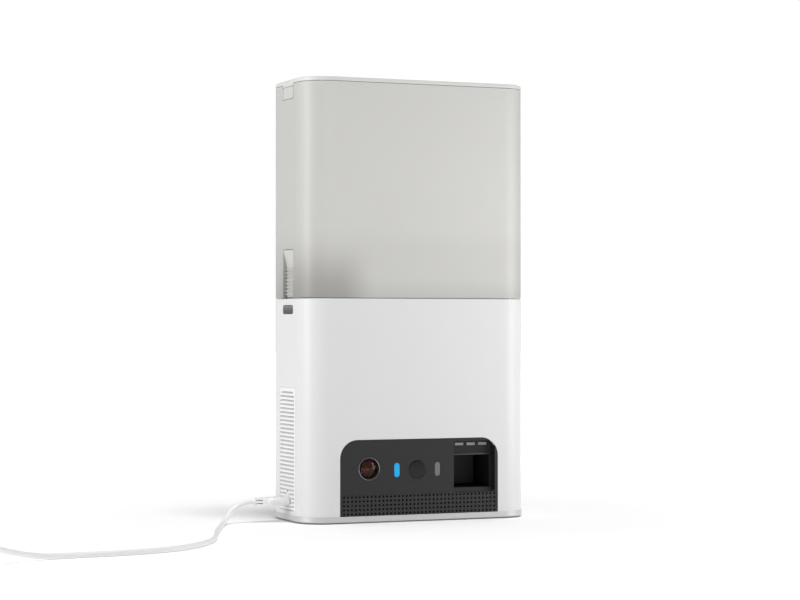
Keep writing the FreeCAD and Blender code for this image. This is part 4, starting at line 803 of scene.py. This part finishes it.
class PETCAMERA_OT_housing(bpy.types.Operator):
    """Finishes the white shell, its vents, the plate, the feet and the screws"""

    bl_idname = "pet_camera.housing"
    bl_label = "Housing"

    def execute(self, context):
        settings = context.scene.pet_camera_base
        white = moulded(
            "shell_white", settings.shell_colour, rough=0.36, grain=settings.shell_grain, tone=0.012
        )
        # painted light: the vents glow a little, which lightens their slots
        vent_white = moulded("vent_white", settings.vent_colour, rough=0.45, tone=0.01, painted_glow=0.07)
        for side in ("left", "right"):
            refinish(f"vent_{side}", vent_white)
        dress("white_shell", white)
        self.pinhole_shade_sleeve()
        dress("silver_plate", painted_metal("plate_paint", settings.plate_colour))
        dress("rubber_feet", soft_rubber("foot_rubber", (0.03, 0.03, 0.031)))
        dress("steel", turned_steel("screw_steel", (0.62, 0.61, 0.59)))
        return {"FINISHED"}

    def pinhole_shade_sleeve(self):
        """A near-black sleeve in the pinhole over the reset button, put there as painted shade for
        the inside of the hole.
        """
        y, z = PINHOLE
        # Place along X and diameter of each section, from inside round the rim and in again.
        stations = ((-71.0, 1.75), (-72.46, 1.75), (-72.54, 1.6), (-72.46, 1.45), (-72.1, 1.4))
        sections = [
            [(x, y + a, z + b) for a, b in pill(width, width, width / 2, 6)]
            for x, width in stations
        ]
        # painted shade: near black, where the inside of the hole is in shade
        dark = moulded("pinhole_shade_black", (0.02, 0.02, 0.021), rough=0.6, gloss=0.2)
        piece("pinhole_sleeve", "base", loft(sections, caps=(False, True)), dark)


class PETCAMERA_OT_panel(bpy.types.Operator):
    """Finishes the front panel, and makes the grille, the two lights and the sensor window"""

    bl_idname = "pet_camera.panel"
    bl_label = "Panel"

    def execute(self, context):
        settings = context.scene.pet_camera_base
        power_x, sensor_x, status_x = -14.9, -1.8, 11.2
        colour = settings.panel_colour
        black = moulded("panel_black", colour, rough=0.38, grain=0.0003, gloss=0.43)
        soften("front_panel", 0.25, 2)
        self.lip()
        dress("black_panel", black)
        self.grille(settings, moulded("grille_black", colour, rough=0.5, depth=0.0000005))
        paper = moulded("speaker_paper", (0.004, 0.004, 0.004), rough=0.9, depth=0.00003)
        dress("black_grille", paper)
        lit = self.lit(settings)
        self.light("power_pipe", power_x, lit, "blue_light", "power_light")
        dress("blue_light", lit)
        frosted = moulded("status_frosted", (0.155, 0.155, 0.158), rough=0.5, tone=0.05)
        self.light("status_pipe", status_x, frosted, "grey_light", "status_light")
        window = moulded("window_frosted", (0.38, 0.38, 0.38), rough=0.5, tone=0.05)
        refinish("brow_windows", window)
        dress("grey_light", frosted)
        glossy = moulded("sensor_black", (0.004, 0.0035, 0.004), rough=0.22, gloss=0.35)
        profile = [(-31.5, CENTRE), (-31.5, 5.4), (-32.75, 5.5), (-32.9, 5.42), (-32.97, 5.25)]
        profile += [(FRONT, 4.8), (FRONT, CENTRE)]
        sensor = lathe(profile, (sensor_x, LIGHTS_HIGH))
        piece("sensor_lens", "base", sensor, glossy, ("sensor_window",))
        dress("sensor_glass", glossy)
        return {"FINISHED"}

    def lip(self):
        """A rounded lip along the lower edge of the slotted brow."""
        past, proud, below = 1.9, 0.4, 5.2  # from the edges of the windows to the lip's middle
        deep, tall, corner, taper = 0.8, 0.9, 0.38, 0.25
        low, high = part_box("brow_windows")
        left, right = low[0] / MM - past, high[0] / MM + past
        face, middle = low[1] / MM - proud, low[2] / MM - below
        sections = []
        for x, shrink in ((left, taper), (left + taper, 0), (right - taper, 0), (right, taper)):
            outline = pill(deep - shrink, tall - shrink, corner, 5)
            sections.append([(x, face + a, middle + b) for a, b in outline])
        satin = moulded("lip_satin", (0.075, 0.075, 0.076), rough=0.3, grain=0.0004, depth=0.000003)
        piece("brow_lip", "base", loft(sections), satin)

    def lit(self, settings):
        """A light pipe that glows brightest halfway up."""
        per_metre, fade = 240, 0.35  # one over the half height, and the loss at both ends
        finish = Finish("light_lit")
        _, _, high = finish.axes()
        middle = 1 - (abs(high - LIGHTS_HIGH * MM) * per_metre) ** 2.0 * fade
        haze = finish.noise(0.0008)
        colour = finish.mix(
            (middle + haze.swing(0.1)).clamped(),
            rgb(settings.light_colour, 0.7),
            rgb(settings.light_colour, 1.1),
        )
        return finish.surface(
            Base_Color=(0.01, 0.13, 0.28, 1),
            Roughness=0.45,
            Specular_IOR_Level=0.25,
            Emission_Color=colour,
            Emission_Strength=0.6,
            Normal=finish.bump(haze, 0.000002),
        )

    def light(self, name, x, material, slot, node):
        """A pill whose face is slightly crowned."""
        width, height, corner = 3.4, 8.4, 1.65
        # Place along Y, and how far the outline shrinks there.
        crown = [(-27.0, 0), (-32.75, 0), (-32.9, 0.05), (-32.98, 0.16)]
        crown += [(FRONT, 0.4), (-33.05, 0.9)]
        sections = []
        for y, shrink in crown:
            outline = pill(width - 2 * shrink, height - 2 * shrink, corner - shrink)
            sections.append([(x + a, y, LIGHTS_HIGH + b) for a, b in outline])
        piece(name, "base", loft(sections), material, (node,))

    def grille(self, settings, black):
        """A strip with rows of round holes, each countersunk a little."""
        pitch, columns, rows, middle = 2.487, 40, 5, 10.4
        rim = 0.9  # from the middle of an outer hole to the edge of the strip
        sides = 5  # segments along each side of a hole's square cell
        sink, thickness = 0.05, 2.0
        weld = 0.000001  # corners closer than this become one, in metres
        hole = settings.hole / MM / 2
        front, back = FRONT, FRONT + thickness
        skin = bmesh.new()
        for column in range(columns):
            for row in range(rows):
                x = (column - (columns - 1) / 2) * pitch
                z = middle + (row - (rows - 1) / 2) * pitch
                left = -rim if column == 0 else -pitch / 2
                right = rim if column == columns - 1 else pitch / 2
                low = -rim if row == 0 else -pitch / 2
                high = rim if row == rows - 1 else pitch / 2
                edge = []
                for start, end in (
                    ((right, low), (right, high)),
                    ((right, high), (left, high)),
                    ((left, high), (left, low)),
                    ((left, low), (right, low)),
                ):
                    for k in range(sides):
                        edge.append([start[i] + (end[i] - start[i]) * k / sides for i in (0, 1)])
                rings = [[(x + a, back, z + b) for a, b in edge]]
                rings.append([(x + a, front, z + b) for a, b in edge])
                for radius, y in ((hole + sink, front), (hole, front + sink), (hole, back)):
                    circle = ring(4 * sides, radius, y, -math.pi / 4)
                    rings.append([(x + p.x, p.y, z + p.z) for p in circle])
                cell = [[skin.verts.new(point) for point in metres(loop)] for loop in rings]
                for inner, outer in zip(cell[2:] + [cell[0]], cell[1:]):
                    for i in range(4 * sides):
                        j = (i + 1) % (4 * sides)
                        skin.faces.new((outer[i], outer[j], inner[j], inner[i]))
                edges = [column == columns - 1, row == rows - 1, column == 0, row == 0]
                for side, there in enumerate(edges):
                    for i in range(side * sides, (side + 1) * sides) if there else ():
                        j = (i + 1) % (4 * sides)
                        skin.faces.new((cell[0][i], cell[0][j], cell[1][j], cell[1][i]))
        bmesh.ops.remove_doubles(skin, verts=skin.verts, dist=weld)
        piece("grille", "base", skin, black, ("speaker_grille",))


class PETCAMERA_OT_lens(bpy.types.Operator):
    """Makes the camera's bezel and gasket, its coated glass and the stepped barrel behind it"""

    bl_idname = "pet_camera.lens"
    bl_label = "Camera lens"

    def execute(self, context):
        settings = context.scene.pet_camera_base
        bezel = [(-30.8, 6.3), (-33.1, 6.3), (-33.26, 6.38), (-33.3, 6.5), (-33.24, 6.66)]
        bezel += [(-33.05, 6.75), (-30.8, 6.75)]
        anodised = turned_steel("bezel_dark", (0.26, 0.26, 0.27))
        skin = lathe(bezel, LENS, LENS_SIDES, closed=True)
        piece("lens_bezel", "base", skin, anodised, ("lens_ring",))
        dress("lens_ring", anodised)
        gasket = [(-30.8, 5.72), (-32.75, 5.72), (-32.9, 5.8)]
        gasket += [(-32.9, 6.2), (-32.8, 6.28), (-30.8, 6.28)]
        dull = moulded("gasket_black", (0.008, 0.008, 0.008), rough=0.6, gloss=0.2)
        skin = lathe(gasket, LENS, LENS_SIDES, closed=True)
        piece("lens_gasket", "base", skin, dull)
        self.glass(settings)
        self.barrel(settings)
        return {"FINISHED"}

    def glass(self, settings):
        """A domed front element, and a strip of light that only it mirrors."""
        back = -30.85
        profile = [(back, CENTRE), (back, 5.65), *cap(tip=-33.35, sphere=9.6, edge=5.7, steps=12)]
        finish = Finish("lens_coated")
        smear = finish.noise(0.004)
        clear = finish.surface(
            Base_Color=rgb((0.62, 0.34, 0.29)),
            Roughness=(0.02 + smear * 0.03).clamped(),
            Transmission_Weight=1.0,
            IOR=1.40,
            Specular_Tint=(1.0, 0.72, 0.62, 1.0),
        )
        skin = lathe(profile, LENS, LENS_SIDES)
        dome = piece("lens_dome", "base", skin, clear, ("camera_lens",))
        spot, aim = (0.36, -0.10, 0.16), (LENS[0] * MM, FRONT * MM, 0.032)
        strip = soft_box("glint_box", spot, aim, width=0.12, height=0.42, power=settings.glint)
        strip.light_linking.receiver_collection = linked("glint_lit", dome, "INCLUDE")
        dress("lens_glass", clear)

    def barrel(self, settings):
        """Black outside, with coated rings that step down to the small inner element."""
        pitch, groove = 0.0011, 0.00085  # the rings' pitch, and where in it a groove starts
        finish = Finish("barrel_coated")
        across, _, high = finish.axes()
        reach = distance(across - LENS[0] * MM, high - LENS[1] * MM)
        rings = (reach % pitch) > groove
        core = reach.fall(0.0008, 0.0044)
        warm = finish.mix(core, rgb((0.004, 0.002, 0.002)), rgb(settings.glass_colour, 0.7))
        coated = finish.surface(
            Base_Color=finish.mix(rings * 0.6, warm, rgb(settings.glass_colour, 0.15)),
            Roughness=(0.12 + reach.ramp(0.0022, 0.0026) * 0.4 + rings * 0.3).clamped(),
            Specular_IOR_Level=0.3,
            Normal=finish.bump(rings, 0.00002),
        )
        inward, back = 0.62, 0.55  # from one step of the barrel to the next
        profile = [(-15.7, CENTRE), (-15.7, 6.6), (-30.6, 6.6), (-30.75, 6.45), (-30.75, 4.9)]
        for k in range(4):
            radius = 4.9 - inward * k
            profile += [(-30.2 + back * k, radius - 0.05), (-30.1 + back * k, radius - 0.55)]
        profile += cap(tip=-29.8, sphere=3.4, edge=2.4, steps=8)
        skin = lathe(profile, LENS, LENS_SIDES)
        piece("lens_barrel", "base", skin, coated, ("camera_barrel",))


class PETCAMERA_OT_controls(bpy.types.Operator):
    """Finishes the release buttons and the latches"""

    bl_idname = "pet_camera.controls"
    bl_label = "Buttons and latches"

    def execute(self, context):
        hopper = context.scene.pet_camera_hopper
        dress("button_grey", self.grey_with_painted_top_light())
        dress("grip_grey", moulded("latch_grey", hopper.grip_colour, rough=0.42))
        return {"FINISHED"}

    def grey_with_painted_top_light(self):
        """Dark grey with painted light: paler along the top of a button, as if lit from above."""
        # the darker grey below, and the paler grey of the painted light along the top
        dark, painted_top_light = (0.062, 0.062, 0.065, 1), (0.165, 0.165, 0.17, 1)
        starts, ends = 2.2 * MM, 1.2 * MM  # above the button's foot, and under its top
        finish = Finish("button_grey_matt")
        low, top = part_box("release_left")
        _, _, high = finish.axes()
        grain = finish.noise(0.0004, detail=3.0)
        # painted light: the top of the button is paler than its foot
        pale = high.ramp(low[2] + starts, top[2] - ends) + grain.swing(0.2)
        return finish.surface(
            Base_Color=finish.mix(pale.clamped(), dark, painted_top_light),
            Roughness=(0.5 + grain.swing(0.12)).clamped(),
            Normal=finish.bump(grain, 0.00001),
        )


# Hopper and lid


class PETCAMERA_OT_hopper(bpy.types.Operator):
    """Finishes the frosted hopper, with a painted shadow where the left ramp stands close behind
    it, and painted shade towards its foot and at both ends
    """

    bl_idname = "pet_camera.hopper"
    bl_label = "Hopper"

    def execute(self, context):
        settings = context.scene.pet_camera_hopper
        # colour of the painted shadow of the left ramp
        painted_shadow = rgb((0.52, 0.505, 0.475))
        finish = Finish("hopper_frosted")
        cloud = finish.noise(0.06)
        grain = finish.noise(0.0005)
        across, deep, high = finish.axes()
        # A painted shadow of the left ramp, which stands close behind the front. It fades along X,
        # Y and Z.
        ramp = across.fall(-0.052, -0.027) * deep.fall(-0.008, 0.03) * high.fall(0.139, 0.167)
        # Painted shade makes the rest a little darker towards the foot and at both ends.
        foot = high.fall(0.160, 0.176) * 0.05 + high.fall(0.131, 0.146) * 0.12
        ends = abs(across).ramp(0.056, 0.068) * 0.13
        base = finish.mix(cloud, rgb(settings.tint, 0.985), rgb(settings.tint, 1.015))
        # painted shadow of the left ramp, mixed into the colour
        base = finish.mix(ramp * 0.8, base, painted_shadow)
        # painted shade: black mixed in towards the foot and at both ends
        base = finish.mix((foot + ends).clamped(), base, BLACK)
        frosted = finish.surface(
            Base_Color=base,
            Roughness=(settings.frost + grain.swing(0.1)).clamped(),
            Transmission_Weight=settings.clearness,
            IOR=1.49,
            Coat_Weight=0.25,
            Coat_Roughness=0.3,
            Normal=finish.bump(grain, 0.000004),
        )
        dress("smoke_hopper", frosted)
        dress("hopper_inner", moulded("ramp_grey", settings.floor_colour, rough=0.4))
        return {"FINISHED"}


class PETCAMERA_OT_lid(bpy.types.Operator):
    """Finishes the lid, its tabs and its seal"""

    bl_idname = "pet_camera.lid"
    bl_label = "Lid"

    def execute(self, context):
        settings = context.scene.pet_camera_hopper
        tab = moulded("tab_satin", settings.tab_colour, rough=0.45)
        for side in ("left", "right"):
            refinish(f"lid_tab_{side}", tab)
        dress("lid_grey", moulded("lid_satin", settings.lid_colour, rough=0.36))
        dress("seal_rubber", soft_rubber("seal_silicone", (0.50, 0.50, 0.48), 0.55))
        return {"FINISHED"}


# Inside


class PETCAMERA_OT_drive(bpy.types.Operator):
    """Finishes the gears, the motors, the boards and the dark mouldings"""

    bl_idname = "pet_camera.drive"
    bl_label = "Drives and boards"

    def execute(self, context):
        settings = context.scene.pet_camera_drive
        dress("gear_nylon", moulded("gear_nylon_white", settings.nylon_colour, rough=0.5))
        dark = moulded("moulding_dark", settings.moulding_colour, rough=0.5, gloss=0.3)
        dress("dark_moulding", dark)
        dress("inner_black", moulded("inner_black_matt", (0.01, 0.01, 0.01), rough=0.6))
        dress("circuit_board", self.lacquered_board(settings))
        return {"FINISHED"}

    def lacquered_board(self, settings):
        """Green lacquer over copper tracks, with tinned pads."""
        pitch, half = 0.0016, 0.00022  # of the tracks, and half of a track's width
        between_pads, pad = 0.0034, 0.16  # in metres, and as a share of that
        finish = Finish("board_lacquer")
        across, deep, high = finish.axes()
        zone = finish.noise(0.009, detail=1.0) > 0.5
        lines = abs((across + deep) % pitch - pitch / 2) < half
        other = abs((deep - high) % pitch - pitch / 2) < half
        tracks = (lines * zone + other * (1 - zone)).clamped()
        pads = finish.cells(between_pads, "CHEBYCHEV") < pad
        lacquer = finish.mix(tracks, rgb(settings.board_colour), rgb(settings.board_colour, 2.6))
        return finish.surface(
            Base_Color=finish.mix(pads, lacquer, (0.62, 0.60, 0.56, 1)),
            Metallic=pads * 0.9,
            Roughness=(0.32 + pads * 0.1).clamped(),
            Normal=finish.bump(tracks + pads, 0.00003),
        )


class PETCAMERA_PT_build(bpy.types.Panel):
    """Lists the steps that build the object"""

    bl_label = "Pet camera"
    bl_idname = "PETCAMERA_PT_build"
    bl_space_type = "VIEW_3D"
    bl_region_type = "UI"
    bl_category = "Pet camera"

    def draw(self, context):
        column = self.layout.column()
        for step in STEPS:
            column.operator(f"pet_camera.{step}")
        for group in SETTINGS:
            settings = getattr(context.scene, group)
            box = self.layout.box()
            for name in settings.__annotations__:
                box.prop(settings, name)


SETTINGS = {
    "pet_camera_stage": StageSettings,
    "pet_camera_base": BaseSettings,
    "pet_camera_hopper": HopperSettings,
    "pet_camera_cord": CordSettings,
    "pet_camera_drive": DriveSettings,
}
OPERATORS = (
    PETCAMERA_OT_stage,
    PETCAMERA_OT_view,
    PETCAMERA_OT_plug,
    PETCAMERA_OT_cord,
    PETCAMERA_OT_housing,
    PETCAMERA_OT_panel,
    PETCAMERA_OT_lens,
    PETCAMERA_OT_controls,
    PETCAMERA_OT_hopper,
    PETCAMERA_OT_lid,
    PETCAMERA_OT_drive,
)
STEPS = [item.bl_idname.partition(".")[2] for item in OPERATORS]


def register():
    for name, group in SETTINGS.items():
        bpy.utils.register_class(group)
        setattr(bpy.types.Scene, name, PointerProperty(type=group))
    for item in (*OPERATORS, PETCAMERA_PT_build):
        bpy.utils.register_class(item)


def unregister():
    for item in (PETCAMERA_PT_build, *reversed(OPERATORS)):
        bpy.utils.unregister_class(item)
    for name, group in SETTINGS.items():
        delattr(bpy.types.Scene, name)
        bpy.utils.unregister_class(group)


def main():
    register()
    for step in STEPS:
        getattr(bpy.ops.pet_camera, step)()
    bare = {
        held.material.name
        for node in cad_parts.values()
        for held in node.material_slots
        if held.material and not held.material.node_tree.nodes.get("Texture Coordinate")
    }
    if bare:
        raise RuntimeError(f"these CAD finishes were left plain: {sorted(bare)}")


if __name__ == "__main__":
    main()
